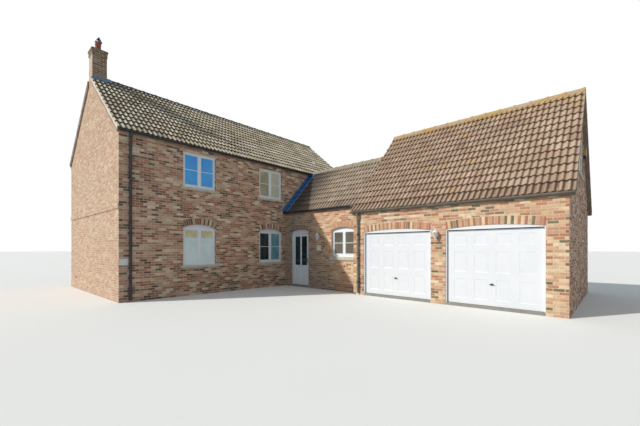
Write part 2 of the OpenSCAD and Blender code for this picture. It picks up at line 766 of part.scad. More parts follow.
// The two square-headed lights of a window, drawn in by a border
module lights(w, border) {
    lw = (w[3] - mullion_w) / 2 - frame_w;
    lh = w[4] - frame_foot - frame_w;
    for (s = [-1, 1]) translate([w[1] + s * (mullion_w + lw) / 2, w[2] + frame_foot])
        translate([border - lw / 2, border]) square([lw - 2 * border, lh - 2 * border]);
}
// A square frame round the lights, and a panel set back in the arch over them
infill_back = 12;
function back_of(w) = w[0] == "G" ? attic_reveal : reveal;
module window_frames() color(white) place() for (w = WINDOWS) {
    into_wall(w[0], back_of(w), back_of(w) + frame_d) difference() {
        translate([w[1] - w[3] / 2, w[2]]) square([w[3], w[4]]);
        lights(w, 0);
    }
    if (w[5] > 0) into_wall(w[0], reveal + infill_back, reveal + frame_d) intersection() {
        window_outline(w);
        translate([w[1] - w[3] / 2, w[2] + w[4]]) square([w[3], w[4]]);
    }
}
sash_d = 60;
module window_sashes() color(white) place() for (w = WINDOWS)
    into_wall(w[0], back_of(w) - sash_out, back_of(w) - sash_out + sash_d) difference() {
        lights(w, 0);
        lights(w, sash_w);
    }
glass_in = 14;
module window_glass() color("#6f7f8c", 0.6) place() {
    in = glass_in - sash_out;
    for (w = WINDOWS) into_wall(w[0], back_of(w) + in, back_of(w) + in + glass_t) lights(w, sash_w);
}

// Front door

leg_w = 60;
door_frame_d = 90;
leaf_x0 = door_x + leg_w + door_gap;
leaf_x1 = door_x + door_w - leg_w - door_gap;
hinge_x = leaf_x0 - door_gap / 2 + 1;
hinge_t = 3;
hinge_y = door_reveal + door_t + barrel_r + hinge_t;
hinge_h = 100;
hinge_in = 200;
module front_door_frame() color(white) place() {
    along_y(door_reveal, door_reveal + door_frame_d) difference() {
        opening(door_mid, 0, door_w, door_spring, door_rise);
        translate([door_x + leg_w, -eps])
            square([door_w - 2 * leg_w, door_gap + door_h + door_gap + eps]);
    }
    for (z = [hinge_in, door_h / 2, door_h - hinge_in]) {
        translate([hinge_x, hinge_y, z]) cylinder(r = barrel_r, h = hinge_h);
        slab(door_x + leg_w - eps, hinge_y, hinge_x, hinge_y + hinge_t, z, z + hinge_h);
    }
}

light_gap = 70;
light_w = (leaf_x1 - leaf_x0 - 2 * stile_w - light_gap) / 2;
light_x = [leaf_x0 + stile_w, leaf_x1 - stile_w - light_w];
kick_z0 = door_gap + stile_w * 1.5;
kick_z1 = door_gap + kick_h - stile_w;
kick_sunk = 8;
kick_border = 35;
module door_light(x) translate([x, door_gap + kick_h]) square([light_w, door_h - kick_h - stile_w]);
module front_door_leaf() color(white) place() {
    difference() {
        slab(leaf_x0, door_reveal, leaf_x1, door_reveal + door_t, door_gap, door_gap + door_h);
        for (x = light_x) {
            along_y(door_reveal - eps, door_reveal + door_t + eps) door_light(x);
            slab(x, door_reveal - eps, x + light_w, door_reveal + kick_sunk, kick_z0, kick_z1);
        }
    }
    for (x = light_x) slab(x + kick_border, door_reveal, x + light_w - kick_border,
        door_reveal + kick_sunk + eps, kick_z0 + kick_border, kick_z1 - kick_border);
}
module front_door_glass() color("#2f3a3c", 0.7) place() {
    y = door_reveal + (door_t - glass_t) / 2;
    for (x = light_x) along_y(y, y + glass_t) door_light(x);
}

// Lever handle on a long plate
lever_z = 1050;
lever_r = 9;
lever_l = 110;
lever_out = 45;
lever_t = 14;
keep_w = 36;
keep_l = 220;
keep_t = 8;
module front_door_handle() color("#c9c5b8") place() {
    x = leaf_x1 - stile_w / 2;
    slab(x - keep_w / 2, door_reveal - keep_t, x + keep_w / 2, door_reveal, lever_z - keep_l * 0.64,
        lever_z + keep_l * 0.36);
    translate([x, door_reveal - keep_t + eps, lever_z]) rotate([90, 0, 0])
        cylinder(r = lever_r, h = lever_out - keep_t);
    slab(x - lever_l, door_reveal - lever_out - lever_t / 2, x + lever_r,
        door_reveal - lever_out + lever_t / 2, lever_z - lever_r, lever_z + lever_r);
}

// Garage doors: a leaf lifts on two arms, and its foot swings out as the top slides in

leaf_w = bay_w - 2 * leaf_side;
head_z = bay_spring - 25;
leaf_top = head_z - leaf_head;
leaf_h = leaf_top - leaf_foot;
pivot_z = leaf_top - pivot_drop;
pivot_y = garage_y0 + leaf_back + leaf_t / 2;
arm_l = (pivot_z - leaf_foot - canopy) / 2;
arm_x = jamb_t + (leaf_side - jamb_t - arm_t) / 2;
frame_y0 = garage_y0 + frame_back;
frame_y1 = pivot_y + arm_w / 2 + 4;
// White posts in front of the arms fill most of the space beside a leaf
post_w = leaf_side - 6;
post_y1 = pivot_y - arm_w / 2 - 5;

module bay_frame(mid) {
    along_y(frame_y0, frame_y1) intersection() {
        opening(mid, 0, bay_w, bay_spring, bay_rise);
        translate([mid - bay_w / 2, head_z]) square([bay_w, bay_spring]);
    }
    for (s = [-1, 1]) {
        x = s * (bay_w / 2 - jamb_t);
        slab(mid + min(x, s * bay_w / 2), post_y1 - eps, mid + max(x, s * bay_w / 2),
            frame_y1, 0, head_z + eps);
        translate([mid + s * (bay_w - post_w) / 2 - post_w / 2, frame_y0, 0])
            cube([post_w, post_y1 - frame_y0, head_z + eps]);
        translate([mid + s * (bay_w / 2 - eps), pivot_y, pivot_z]) rotate([0, -s * 90, 0])
            cylinder(r = arm_pin, h = arm_x + arm_t + 2);
    }
}
module garage_door_frames() color(white) place() for (m = bay_mids) bay_frame(m);

// Pressed panels: a short top row over two tall rows
panel_cols = 4;
panel_rows = [0.39, 0.4, 0.21];
panel_foot = 140;
panel_head = 105;
panel_sunk = 7;
panel_border = 25;
module leaf(mid) {
    w = (leaf_w - (panel_cols + 1) * panel_gap) / panel_cols;
    rows = leaf_h - panel_foot - panel_head - 2 * panel_gap;
    foot = leaf_foot + panel_foot;
    y = garage_y0 + leaf_back;
    panels = [for (c = [0 : panel_cols - 1], r = [0 : 2]) [
        mid - leaf_w / 2 + panel_gap + c * (w + panel_gap),
        foot + r * panel_gap + rows * (r == 0 ? 0 : r == 1 ? panel_rows[0] : panel_rows[0] + panel_rows[1]),
        rows * panel_rows[r],
    ]];
    difference() {
        slab(mid - leaf_w / 2, y, mid + leaf_w / 2, y + leaf_t, leaf_foot, leaf_top);
        for (p = panels) slab(p[0], y - eps, p[0] + w, y + panel_sunk, p[1], p[1] + p[2]);
    }
    for (p = panels) slab(p[0] + panel_border, y + eps, p[0] + w - panel_border, y + panel_sunk + eps,
        p[1] + panel_border, p[1] + p[2] - panel_border);
    for (s = [-1, 1]) translate([mid + s * (leaf_w / 2 - eps), pivot_y, pivot_z - arm_l])
        rotate([0, s * 90, 0]) cylinder(r = arm_pin, h = leaf_side - arm_x + eps - 2);
}
module garage_leaf_left() color(white) place() leaf(bay_mids[0]);
module garage_leaf_right() color(white) place() leaf(bay_mids[1]);

module arm(x) along_x(x, x + arm_t) translate([pivot_y, pivot_z]) difference() {
    union() {
        circle(arm_w / 2);
        translate([0, -arm_l]) circle(arm_w / 2);
        translate([-arm_w / 2, -arm_l]) square([arm_w, arm_l]);
    }
    circle(arm_pin + pin_gap);
    translate([0, -arm_l]) circle(arm_pin + pin_gap);
}
module arm_pair(mid) {
    arm(mid - bay_w / 2 + arm_x);
    arm(mid + bay_w / 2 - arm_x - arm_t);
}
module garage_arms_left() color("#9a9d9f") place() arm_pair(bay_mids[0]);
module garage_arms_right() color("#9a9d9f") place() arm_pair(bay_mids[1]);

// The handle sits on the part that stands out as the canopy, so it clears the head
handle_in = 154;
handle_z = leaf_foot + canopy - handle_in;
rose_r = 26;
rose_t = 10;
grip_l = 110;
grip_w = 18;
grip_t = 12;
grip_out = 24;
module leaf_handle(mid) translate([mid, garage_y0 + leaf_back, handle_z]) rotate([90, 0, 0]) {
    cylinder(r = rose_r, h = rose_t);
    cylinder(r = grip_w / 2 + eps, h = grip_out + grip_t / 2);
    translate([-grip_l / 2, -grip_w / 2, grip_out]) cube([grip_l, grip_w, grip_t]);
}
module garage_handle_left() color(iron) place() leaf_handle(bay_mids[0]);
module garage_handle_right() color(iron) place() leaf_handle(bay_mids[1]);

// Fittings on the walls

// A six-sided lantern hangs from an arm on a wall plate; z = 0 is the arm's line
module lantern() {
    bracket_h = lantern_h * 0.9;
    slab(-35, -12, 35, 0, -bracket_h / 2 - 20, bracket_h / 2 - 20);
    translate([0, -11, 0]) rotate([90, 0, 0]) cylinder(r = 9, h = lantern_out - 11);
    translate([0, -lantern_out, 0]) {
        cap = lantern_r * 0.8;
        translate([0, 0, -10]) cylinder(r = 13, h = 40);
        translate([0, 0, -cap - lantern_h]) cylinder(r = lantern_r, h = lantern_h, $fn = 6);
        rotate_extrude() polygon([
            [0, -cap - 2], [lantern_r + 22, -cap - 2], [lantern_r + 22, -cap + 4], [20, -4], [0, 0],
        ]);
        translate([0, 0, -cap - lantern_h]) rotate_extrude() polygon([
            [0, -24], [14, -22], [lantern_r + 6, -4], [lantern_r + 6, 4], [0, 4],
        ]);
    }
}
garage_lantern_off = 45;
module wall_lanterns() color("#d8dad8") place() {
    translate([link_lantern_x, 0, link_lantern_z]) lantern();
    translate([(bay_mids[0] + bay_mids[1]) / 2 - garage_lantern_off, garage_y0, garage_lantern_z])
        lantern();
}

side_plate_in = 12;
module wall_plates() color(white) place() {
    translate([0, house_y0 + side_plate_in, side_plate_z])
        cube([plate_t, side_plate_w, side_plate_h]);
    translate([link_lantern_x - plate_w / 2, -plate_t, plate_z]) cube([plate_w, plate_t, plate_h]);
}

// The alarm's case is flat with round ends
alarm_gap = 215;
module alarm_box() color("#c98a2e") place() along_x(garage_x1, garage_x1 + alarm_d)
    translate([garage_c + attic_win_w / 2 + alarm_gap, attic_sill + attic_win_h * 0.7]) {
        translate([-alarm_r, -alarm_h / 2]) square([2 * alarm_r, alarm_h]);
        for (z = [-1, 1]) translate([0, z * alarm_h / 2]) circle(alarm_r);
    }

ground_floors();
upper_floors();
house_gables();
house_wall_east();
house_wall_west();
house_roof();
chimney_stack();
chimney_pot();
chimney_cowl();
link_wall_left();
link_wall_right();
link_wall_over();
link_wall_rear();
link_roof();
garage_piers();
garage_wall_over();
garage_wall_rear();
garage_gable_left();
garage_gable_right();
garage_roof();
ridge_tiles();
lead_flashing();
gutters();
downpipes();
brick_arches();
window_sills();
window_frames();
window_sashes();
window_glass();
front_door_frame();
front_door_leaf();
front_door_glass();
front_door_handle();
garage_door_frames();
garage_leaf_left();
garage_leaf_right();
garage_arms_left();
garage_arms_right();
garage_handle_left();
garage_handle_right();
wall_lanterns();
wall_plates();
alarm_box();
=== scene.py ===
"""Looks of a brick house with a low link and a double garage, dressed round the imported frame. Metres."""

import math
import random

import bpy
import numpy as np
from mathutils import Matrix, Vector


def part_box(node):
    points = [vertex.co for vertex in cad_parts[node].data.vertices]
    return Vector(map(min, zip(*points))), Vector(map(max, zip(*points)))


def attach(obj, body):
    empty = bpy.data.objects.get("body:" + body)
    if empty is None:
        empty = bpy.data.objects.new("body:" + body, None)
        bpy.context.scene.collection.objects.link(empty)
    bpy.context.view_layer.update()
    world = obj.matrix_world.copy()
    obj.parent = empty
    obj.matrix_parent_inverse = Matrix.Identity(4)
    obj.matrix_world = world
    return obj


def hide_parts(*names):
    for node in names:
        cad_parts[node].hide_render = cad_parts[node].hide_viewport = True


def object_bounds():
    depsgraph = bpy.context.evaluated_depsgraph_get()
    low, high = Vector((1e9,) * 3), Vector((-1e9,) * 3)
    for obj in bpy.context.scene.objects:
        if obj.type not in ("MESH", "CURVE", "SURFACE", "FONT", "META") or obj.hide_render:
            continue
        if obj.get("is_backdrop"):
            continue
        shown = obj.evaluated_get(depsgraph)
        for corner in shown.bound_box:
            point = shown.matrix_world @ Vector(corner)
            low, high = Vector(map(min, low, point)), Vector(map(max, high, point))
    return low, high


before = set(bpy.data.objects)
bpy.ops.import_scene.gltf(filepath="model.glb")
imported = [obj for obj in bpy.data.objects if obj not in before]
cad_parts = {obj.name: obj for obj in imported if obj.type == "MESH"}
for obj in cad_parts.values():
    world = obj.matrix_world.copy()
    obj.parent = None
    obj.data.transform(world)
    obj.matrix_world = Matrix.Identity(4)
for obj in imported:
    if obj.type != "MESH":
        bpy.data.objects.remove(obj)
cad_low, cad_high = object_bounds()

X, Y, Z = Vector((1, 0, 0)), Vector((0, 1, 0)), Vector((0, 0, 1))


def points_of(node):
    return [v.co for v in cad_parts[node].data.vertices]


def levels(points, axis=2, digits=4):
    """The different values of one coordinate of some points, rising."""
    return sorted({round(p[axis], digits) for p in points})


def islands(node):
    """Boxes of the separate solids in a CAD node, as (low, high) pairs."""
    co = np.array(points_of(node))
    _, same = np.unique(np.round(co, 5), axis=0, return_inverse=True)
    same = same.reshape(-1)
    parent = list(range(same.max() + 1))

    def root(i):
        while parent[i] != i:
            parent[i] = parent[parent[i]]
            i = parent[i]
        return i

    for a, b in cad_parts[node].data.edge_keys:
        parent[root(same[a])] = root(same[b])
    groups = {}
    for i, s in enumerate(same):
        groups.setdefault(root(s), []).append(i)
    boxes = [(Vector(co[g].min(0)), Vector(co[g].max(0))) for g in groups.values()]
    return sorted(boxes, key=lambda b: tuple(round(v, 3) for v in (*b[0], *b[1])))


# Plan lines and levels of the building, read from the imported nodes

east_low, east_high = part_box("house_wall_east")
WALL = east_high.x - east_low.x
HOUSE_E = east_high.x
HOUSE_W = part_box("house_wall_west")[0].x
HOUSE_F, HOUSE_B = east_low.y - WALL, east_high.y + WALL
LINK_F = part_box("link_wall_left")[0].y
LINK_B, LINK_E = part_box("link_wall_rear")[1].y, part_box("link_wall_rear")[1].x
GARAGE_F, GARAGE_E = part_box("garage_piers")[0].y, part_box("garage_piers")[1].x
GARAGE_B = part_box("garage_wall_rear")[1].y
FOOT = cad_low.z
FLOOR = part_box("ground_floors")[1].z
UPSTAIRS = 2.5          # windows of the tall house above this belong to the upper floor
CHIMNEY_LEAD = 6.0      # lead above this lies round the chimney
frames = islands("window_frames")
sills = islands("window_sills")
arches = islands("brick_arches")


# Colours and materials

def rgb(text):
    """A hex colour as the linear RGBA that Blender's sockets take."""
    def linear(c):
        return c / 12.92 if c <= 0.04045 else ((c + 0.055) / 1.055) ** 2.4
    return [linear(int(text[i:i + 2], 16) / 255) for i in (1, 3, 5)] + [1.0]


class Look:
    """A node material under construction, with short ways to add the usual nodes."""

    def __init__(self, name, rough, metal=0.0, **sockets):
        self.material = bpy.data.materials.new(name)
        self.material.use_nodes = True
        self.tree = self.material.node_tree
        self.tree.nodes.clear()
        self.shader = self.add("ShaderNodeBsdfPrincipled")
        self.join(self.shader.outputs[0], self.add("ShaderNodeOutputMaterial").inputs[0])
        for socket, value in dict(Roughness=rough, Metallic=metal, **sockets).items():
            self.shader.inputs[socket.replace("_", " ")].default_value = value
        self.place = self.add("ShaderNodeTexCoord").outputs["Object"]

    def add(self, kind, **settings):
        node = self.tree.nodes.new(kind)
        for key, value in settings.items():
            setattr(node, key, value)
        return node

    def join(self, source, target):
        """Sets a socket to a number or a colour text, or links another socket to it."""
        if isinstance(source, (int, float)):
            target.default_value = source
        elif isinstance(source, str):
            target.default_value = rgb(source)
        else:
            self.tree.links.new(source, target)

    def noise(self, scale, detail, rough=0.6, stretch=None):
        node = self.add("ShaderNodeTexNoise")
        place = self.place
        if stretch:
            squeeze = self.add("ShaderNodeMapping")
            squeeze.inputs["Scale"].default_value = stretch
            self.join(place, squeeze.inputs["Vector"])
            place = squeeze.outputs[0]
        for socket, value in (("Vector", place), ("Scale", scale), ("Detail", detail), ("Roughness", rough)):
            self.join(value, node.inputs[socket])
        return node.outputs["Fac"]

    def ramp(self, source, *stops):
        """stops are (position, colour text or grey number)."""
        node = self.add("ShaderNodeValToRGB")
        marks = node.color_ramp.elements
        while len(marks) < len(stops):
            marks.new(0.5)
        for mark, (at, value) in zip(marks, stops):
            mark.position = at
            mark.color = rgb(value) if isinstance(value, str) else (value, value, value, 1)
        self.join(source, node.inputs["Fac"])
        return node.outputs["Color"]

    def mix(self, amount, under, over):
        node = self.add("ShaderNodeMix", data_type="RGBA", clamp_factor=True)
        for socket, source in zip((0, 6, 7), (amount, under, over)):
            self.join(source, node.inputs[socket])
        return node.outputs[2]

    def patch(self, source, start, full, most, under, over):
        """Lays one colour over another: none where source is under start, most of it from full on."""
        return self.mix(self.ramp(source, (start, 0.0), (full, most)), under, over)

    def zones(self, mask, cloud, outside, inside):
        """Two shades each for the parts outside and inside a mask."""
        return self.mix(mask, self.mix(cloud, *outside), self.mix(cloud, *inside))

    def maths(self, way, a, b, clamp=False):
        node = self.add("ShaderNodeMath", operation=way, use_clamp=clamp)
        self.join(a, node.inputs[0])
        self.join(b, node.inputs[1])
        return node.outputs[0]

    def number(self, name):
        """A number that the piece's mesh carries at each point."""
        return self.add("ShaderNodeAttribute", attribute_name=name).outputs["Fac"]

    def side(self, letter, way, level):
        """1 where a coordinate is GREATER_THAN or LESS_THAN a level, else 0."""
        node = self.add("ShaderNodeSeparateXYZ")
        self.join(self.place, node.inputs[0])
        return self.maths(way, node.outputs["XYZ".index(letter)], level)

    def within(self, letters, low, high):
        """1 between two levels of each coordinate, else 0."""
        inside = 1.0
        for letter, a, b in zip(letters, low, high):
            inside = self.maths("MULTIPLY", inside, self.side(letter, "GREATER_THAN", a))
            inside = self.maths("MULTIPLY", inside, self.side(letter, "LESS_THAN", b))
        return inside

    def done(self, colour, grain=None, height=0.0, spread=None, gloss=None):
        """The material in a colour. grain is the noise of a bump of this height, and spread the roughness
        at the low and high parts of gloss, or else of the grain."""
        self.join(colour, self.shader.inputs["Base Color"])
        if spread:
            worn = self.ramp(gloss or grain, (0.3, spread[0]), (0.7, spread[1]))
            self.join(worn, self.shader.inputs["Roughness"])
        if height:
            node = self.add("ShaderNodeBump")
            node.inputs["Strength"].default_value = 1.0
            node.inputs["Distance"].default_value = height
            self.join(grain, node.inputs["Height"])
            self.join(node.outputs[0], self.shader.inputs["Normal"])
        return self.material


def brick_look():
    look = Look("brick", rough=0.9)
    # Painted shade: walls in shade are darker and blue-grey, with more of the burnt bricks showing
    damp = look.number("damp")
    tone = look.maths("SUBTRACT", look.number("tone"), look.maths("MULTIPLY", damp, 0.30), clamp=True)
    fresh = look.ramp(tone, (0.0, "#544a40"), (0.10, "#6a5c4d"), (0.12, "#8a5643"), (0.26, "#ac745b"),
                      (0.45, "#bb8c72"), (0.65, "#c8a288"), (0.84, "#d5b69c"), (0.95, "#e2cdb0"),
                      (1.0, "#efe2ca"))
    # Painted sunlight: a lighter, yellower copy of the shades for sunlit faces
    sunned = look.ramp(tone, (0.0, "#6c634e"), (0.07, "#7f7259"), (0.085, "#a86c4f"), (0.22, "#c08262"),
                       (0.42, "#ca9a78"), (0.62, "#d3a984"), (0.80, "#dcb993"), (0.93, "#e6caa4"),
                       (1.0, "#edd9b9"))
    # Painted glare: pale grey laid over the bricks of a sunlit face
    kinds = look.mix(look.number("bloom"), look.mix(look.number("bleach"), fresh, sunned), "#b4b6b4")
    # Painted shade turns the bricks blue-grey
    kinds = look.mix(look.maths("MULTIPLY", damp, 0.48), kinds, "#797d81")
    grain = look.noise(60, 5, 0.7)
    stained = look.patch(look.noise(9, 4), 0.42, 0.68, 0.40, kinds, "#9d8570")
    pale = look.patch(grain, 0.58, 0.75, 0.5, stained, "#ead9bf")
    dark = look.mix(look.ramp(grain, (0.30, 0.5), (0.45, 0.0)), pale, "#6f5a4b")
    # Weathering on the chimney: sooty up the shaft, mossy on the cap; the shaft's side faces also get painted
    # shade
    soot = look.number("soot")
    sooted = look.mix(look.ramp(soot, (0.0, 0.0), (0.5, 0.62), (1.0, 0.8)), dark,
                      look.ramp(soot, (0.5, "#615a52"), (1.0, "#56553f")))
    return look.done(sooted, grain, 0.004, (0.95, 0.82))


def tile_look(name, light, mid, deep, dirt, moss, lichen, clean=0.10, filthy=0.62, bare=0.40):
    """Weathered clay: the dark colour covers it from the start to the full level of the grime, which is partly
    dirt and partly painted shade; the noise under bare is what lichen leaves free on a grown tile, and on the
    link the growth is painted shade."""
    look = Look(name, rough=0.85)
    tone = look.ramp(look.number("tone"), (0.0, deep), (0.45, mid), (0.85, light), (1.0, light))
    grain = look.noise(45, 5, 0.7)
    patchy = look.patch(look.noise(1.3, 4, 0.65), 0.45, 0.70, 0.5, tone, moss)
    speckled = look.patch(grain, 0.55, 0.80, 0.6, patchy, light)
    crust = look.ramp(look.noise(14, 4, 0.7), (bare, 0.0), (bare + 0.14, 1.0))
    living = look.mix(look.maths("MULTIPLY", crust, look.number("growth")), speckled, lichen)
    soiled = look.patch(look.number("grime"), clean, filthy, 0.97, living, dirt)
    return look.done(soiled, grain, 0.003, (0.95, 0.75))


def ridge_look():
    """Dark on the tall house, pale and mossy on the link, tan with lichen on the garage."""
    look = Look("ridge_tiles", rough=0.9)
    cloud = look.noise(1.1, 4, 0.6)
    grain = look.noise(35, 5, 0.7)
    clay = look.zones(look.side("X", "LESS_THAN", HOUSE_E), cloud,
                      ("#857d68", "#aaa08a"), ("#3b444b", "#5c6062"))
    yellow = look.patch(look.noise(7, 3), 0.45, 0.6, 1.0, "#b39c52", "#bf8638")
    lichen = look.patch(look.noise(2.2, 5, 0.7), 0.46, 0.58, 0.88,
                        look.mix(cloud, "#a39078", "#bfa890"), yellow)
    picked = look.mix(look.side("X", "GREATER_THAN", LINK_E - 0.2), clay, lichen)
    return look.done(look.patch(grain, 0.5, 0.75, 0.5, picked, "#4a4b42"), grain, 0.004)


def lead_look():
    """Blue as a painted reflection of the sky, deeper beside the house wall than round the chimney, where it is
    greyer.
    """
    look = Look("lead", rough=0.42, metal=0.55)
    cloud = look.noise(5, 4)
    shade = look.ramp(cloud, (0.35, 0.0), (0.65, 1.0))
    colour = look.zones(look.side("Z", "GREATER_THAN", CHIMNEY_LEAD), shade,
                        ("#2d609f", "#416e98"), ("#456a94", "#5d7f98"))
    return look.done(colour, look.noise(18, 3), 0.004, (0.35, 0.6), cloud)


def rainwater_look():
    """Black on the house and link, weathered grey with dark clips on the garage."""
    look = Look("rainwater", rough=0.45)
    cloud = look.ramp(look.noise(4, 4), (0.40, 0.0), (0.70, 1.0))
    garage = look.maths("MULTIPLY", look.side("X", "GREATER_THAN", LINK_E - 0.25),
                        look.side("Y", "LESS_THAN", LINK_B + 1.0))
    collars = levels([p for p in points_of("downpipes")
                      if abs(p.y - GARAGE_F) < 0.15 and 0.3 < p.z < 2.2], digits=3)
    clips = 0.0
    for low, high in zip(collars[::2], collars[1::2]):
        clips = look.maths("MAXIMUM", clips, look.within("Z", [low - 0.005], [high + 0.005]))
    grey = look.mix(clips, look.mix(cloud, "#68655a", "#868072"), "#37352f")
    colour = look.mix(garage, look.mix(cloud, "#202328", "#33373c"), grey)
    return look.done(colour, look.noise(70, 3), 0.0006, (0.40, 0.58))


def alarm_look():
    """An amber case on a dark blue foot."""
    look = Look("alarm_case", rough=0.4)
    low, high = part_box("alarm_box")
    foot = look.side("Z", "LESS_THAN", low.z + 0.3 * (high.z - low.z))
    colour = look.zones(foot, look.ramp(look.noise(9, 4), (0.4, 0.0), (0.7, 1.0)),
                        ("#d2982f", "#bd8428"), ("#23304c", "#1b2538"))
    return look.done(colour, look.noise(70, 3), 0.0006, (0.34, 0.52))


def surface(name, rough, shades, patches, grain, height, spread=None, speck=None, even=True):
    """A plain finish in two shades. patches lists the scale and detail of their noise, and where the
    second shade starts, is full, and its share. grain is the noise of the bump. speck lists where the
    grain's specks start and are full, their share and their colour. Unless even, the roughness
    follows the patches."""
    look = Look(name, rough=rough)
    cloud, fine = look.noise(*patches[:2]), look.noise(*grain)
    colour = look.patch(cloud, *patches[2:], *shades)
    if speck:
        colour = look.patch(fine, *speck[:3], colour, speck[3])
    return look.done(colour, fine, height, spread, fine if even else cloud)


def mortar_look(name, dark, light, grit):
    return surface(name, 0.95, (dark, light), (3, 3, 0.35, 0.65, 1.0), (140, 4, 0.8), 0.002,
                   speck=(0.5, 0.8, 0.6, grit))


def clay_look(name, *shades):
    return surface(name, 0.85, shades, (8, 4, 0.35, 0.7, 1.0), (80, 4, 0.7), 0.002, (0.95, 0.75))


def plastic_look(name, rough, *shades):
    return surface(name, rough, shades, (4, 4, 0.45, 0.75, 0.8), (70, 3), 0.0006,
                   (rough - 0.06, rough + 0.12))


def painted_look(name, *shades):
    return surface(name, 0.38, shades, (1.7, 3, 0.4, 0.75, 1.0), (90, 2), 0.0004, (0.34, 0.48), even=False)


def metal_look(name, rough, colour):
    look = Look(name, rough=rough, metal=1.0)
    brush = look.noise(30, 3, stretch=(1, 1, 12))
    return look.done(look.mix(brush, colour, "#3c3d3f"), brush, 0.0003, (rough - 0.08, rough + 0.12))


def glass_look(name, clear, shades, tints=()):
    """tints lists (two shades, lowest corner, highest corner) of panes painted with what shows at them, painted
    reflections among them.
    """
    look = Look(name, rough=0.04, Transmission_Weight=clear, IOR=1.45)
    sweep = look.ramp(look.noise(0.9, 3), (0.40, 0.0), (0.60, 1.0))
    shown = look.mix(sweep, *shades)
    for behind, low, high in tints:
        inside = look.within("XYZ", low, high)
        shown = look.mix(inside, shown, look.mix(sweep, *behind))
        veil = look.maths("SUBTRACT", 1.0, look.maths("MULTIPLY", inside, 0.9))
        clear = look.maths("MULTIPLY", clear, veil)
    if tints:
        look.join(clear, look.shader.inputs["Transmission Weight"])
    return look.done(shown)


def seen_rays(tree):
    """1 for rays from the camera and those seen in gloss or through glass, else 0."""
    rays = tree.nodes.new("ShaderNodeLightPath")
    total = rays.outputs["Is Camera Ray"]
    for other in ("Is Glossy Ray", "Is Transmission Ray"):
        larger = tree.nodes.new("ShaderNodeMath")
        larger.operation = "MAXIMUM"
        tree.links.new(total, larger.inputs[0])
        tree.links.new(rays.outputs[other], larger.inputs[1])
        total = larger.outputs[0]
    return total


def floor_look():
    """Pale to the camera, darker in the light that it throws back at the walls."""
    look = Look("studio_floor", rough=0.9)
    pale = look.mix(look.noise(0.3, 2), "#e9e8e4", "#e6e5e1")
    return look.done(look.mix(seen_rays(look.tree), "#b0b2b4", pale))


def pane_tints():
    """Colours painted on the courtyard's windows, nearest first: a painted reflection of blue sky on the first
    upper window, pale cream on the second, painted reflections of cream above pale sky on the first lower one,
    a teal half on the second, and dim blinds in the link's. Each share of a window runs between two parts of
    its width and up to a part of its height."""
    east = sorted((b for b in frames if HOUSE_E - 0.3 < b[1].x < HOUSE_E + 0.1), key=lambda b: b[0].y)
    upper = [b for b in east if b[0].z > UPSTAIRS]
    lower = [b for b in east if b[0].z < UPSTAIRS]
    link = [b for b in frames if abs(b[0].y - LINK_F) < 0.3]
    tints = []
    for (low, high), start, end, top, *shades in (
            (upper[0], 0, 1, 1, "#3ab6ff", "#2fa2fa"),
            (upper[1], 0, 0.5, 1, "#e0d4ae", "#a9a58a"),
            (upper[1], 0.5, 1, 1, "#f0ecd8", "#cfcfbd"),
            (lower[0], 0, 1, 1, "#efe3ba", "#cbbd92"),
            (lower[0], 0, 1, 0.68, "#e2f4f0", "#cbe2df"),
            (lower[1], 0.5, 1, 1, "#93c3c8", "#6a9aa2"),
            (link[0], 0, 1, 1, "#716c5d", "#57544a")):
        size = high - low
        tints.append((shades, low + Vector((-0.1, start * size.y - 0.001, 0)),
                      low + Vector((size.x + 0.1, end * size.y + 0.001, top * size.z))))
    return tints


MORTAR = mortar_look("mortar", "#d3c2a5", "#e2d2b6", "#b8a688")
VERGE = mortar_look("verge_mortar", "#d2c3ae", "#e3d6c3", "#ae9d86")
UNDERCLOAK = mortar_look("undercloak", "#8b7d6e", "#a89a8a", "#6e6255")
FLAUNCH = mortar_look("flaunching", "#47483a", "#5f5e4c", "#35362c")
BRICK = brick_look()
HOUSE_TILE = tile_look("house_pantile", "#ebdfc8", "#ccbb9f", "#9b8b6e", "#1c1610", "#9a9174", "#343840")
PANTILE = tile_look("garage_pantile", "#c2a991", "#af937d", "#967b67", "#4a3220", "#a3977c", "#b3924e",
                    clean=0.16, filthy=0.80)
# On the link the growth colour is near black: painted shade beside the tall house
LINK_TILE = tile_look("link_pantile", "#c8b49d", "#ae9984", "#917d6a", "#483a2c", "#9a9079", "#2f2d2f",
                      clean=0.16, filthy=0.80, bare=0.28)
RIDGE = ridge_look()
LEAD = lead_look()
STONE = surface("sill_stone", 0.88, ("#d2ccb8", "#bdb6a0"), (6, 4, 0.35, 0.7, 1.0), (120, 4, 0.7), 0.0015,
                speck=(0.55, 0.8, 0.5, "#a89c80"))
# The white has a faint blue tint, which paints the sky's light on the frames
WHITE = plastic_look("white_frame", 0.35, "#f0f4f8", "#e6ebf1")
WHITE_PLATE = plastic_look("bare_plate", 0.5, "#e6e5df", "#d8d6cd")
RAINWATER = rainwater_look()
GARAGE_WHITE = painted_look("garage_door_white", "#e6e7e8", "#dfe1e3")
PANEL_EDGE = painted_look("panel_edge_white", "#e9eaeb", "#e4e6e8")
COWL = painted_look("cowl_paint", "#7c8a99", "#505d6b")
DARK = painted_look("dark_metal", "#1d1e20", "#2a2b2c")
LANTERN = painted_look("lantern_paint", "#eceded", "#dadcdd")
STEEL = metal_look("arm_steel", 0.35, "#a7a9ab")
BRASS = metal_look("door_brass", 0.25, "#b99a56")
ALARM = alarm_look()
TERRACOTTA = clay_look("terracotta", "#a8614f", "#874c40")
CONCRETE = clay_look("concrete_floor", "#98948b", "#8a867e")
TIMBER = clay_look("timber_floor", "#b0936a", "#94784f")
WINDOW_GLASS = glass_look("window_glass", 0.45, ("#5b605e", "#3f4545"), pane_tints())
DOOR_GLASS = glass_look("door_glass", 0.35, ("#33454a", "#1f2b30"))
PANE = glass_look("lantern_glass", 0.35, ("#e2e9ea", "#cfd9dc"))

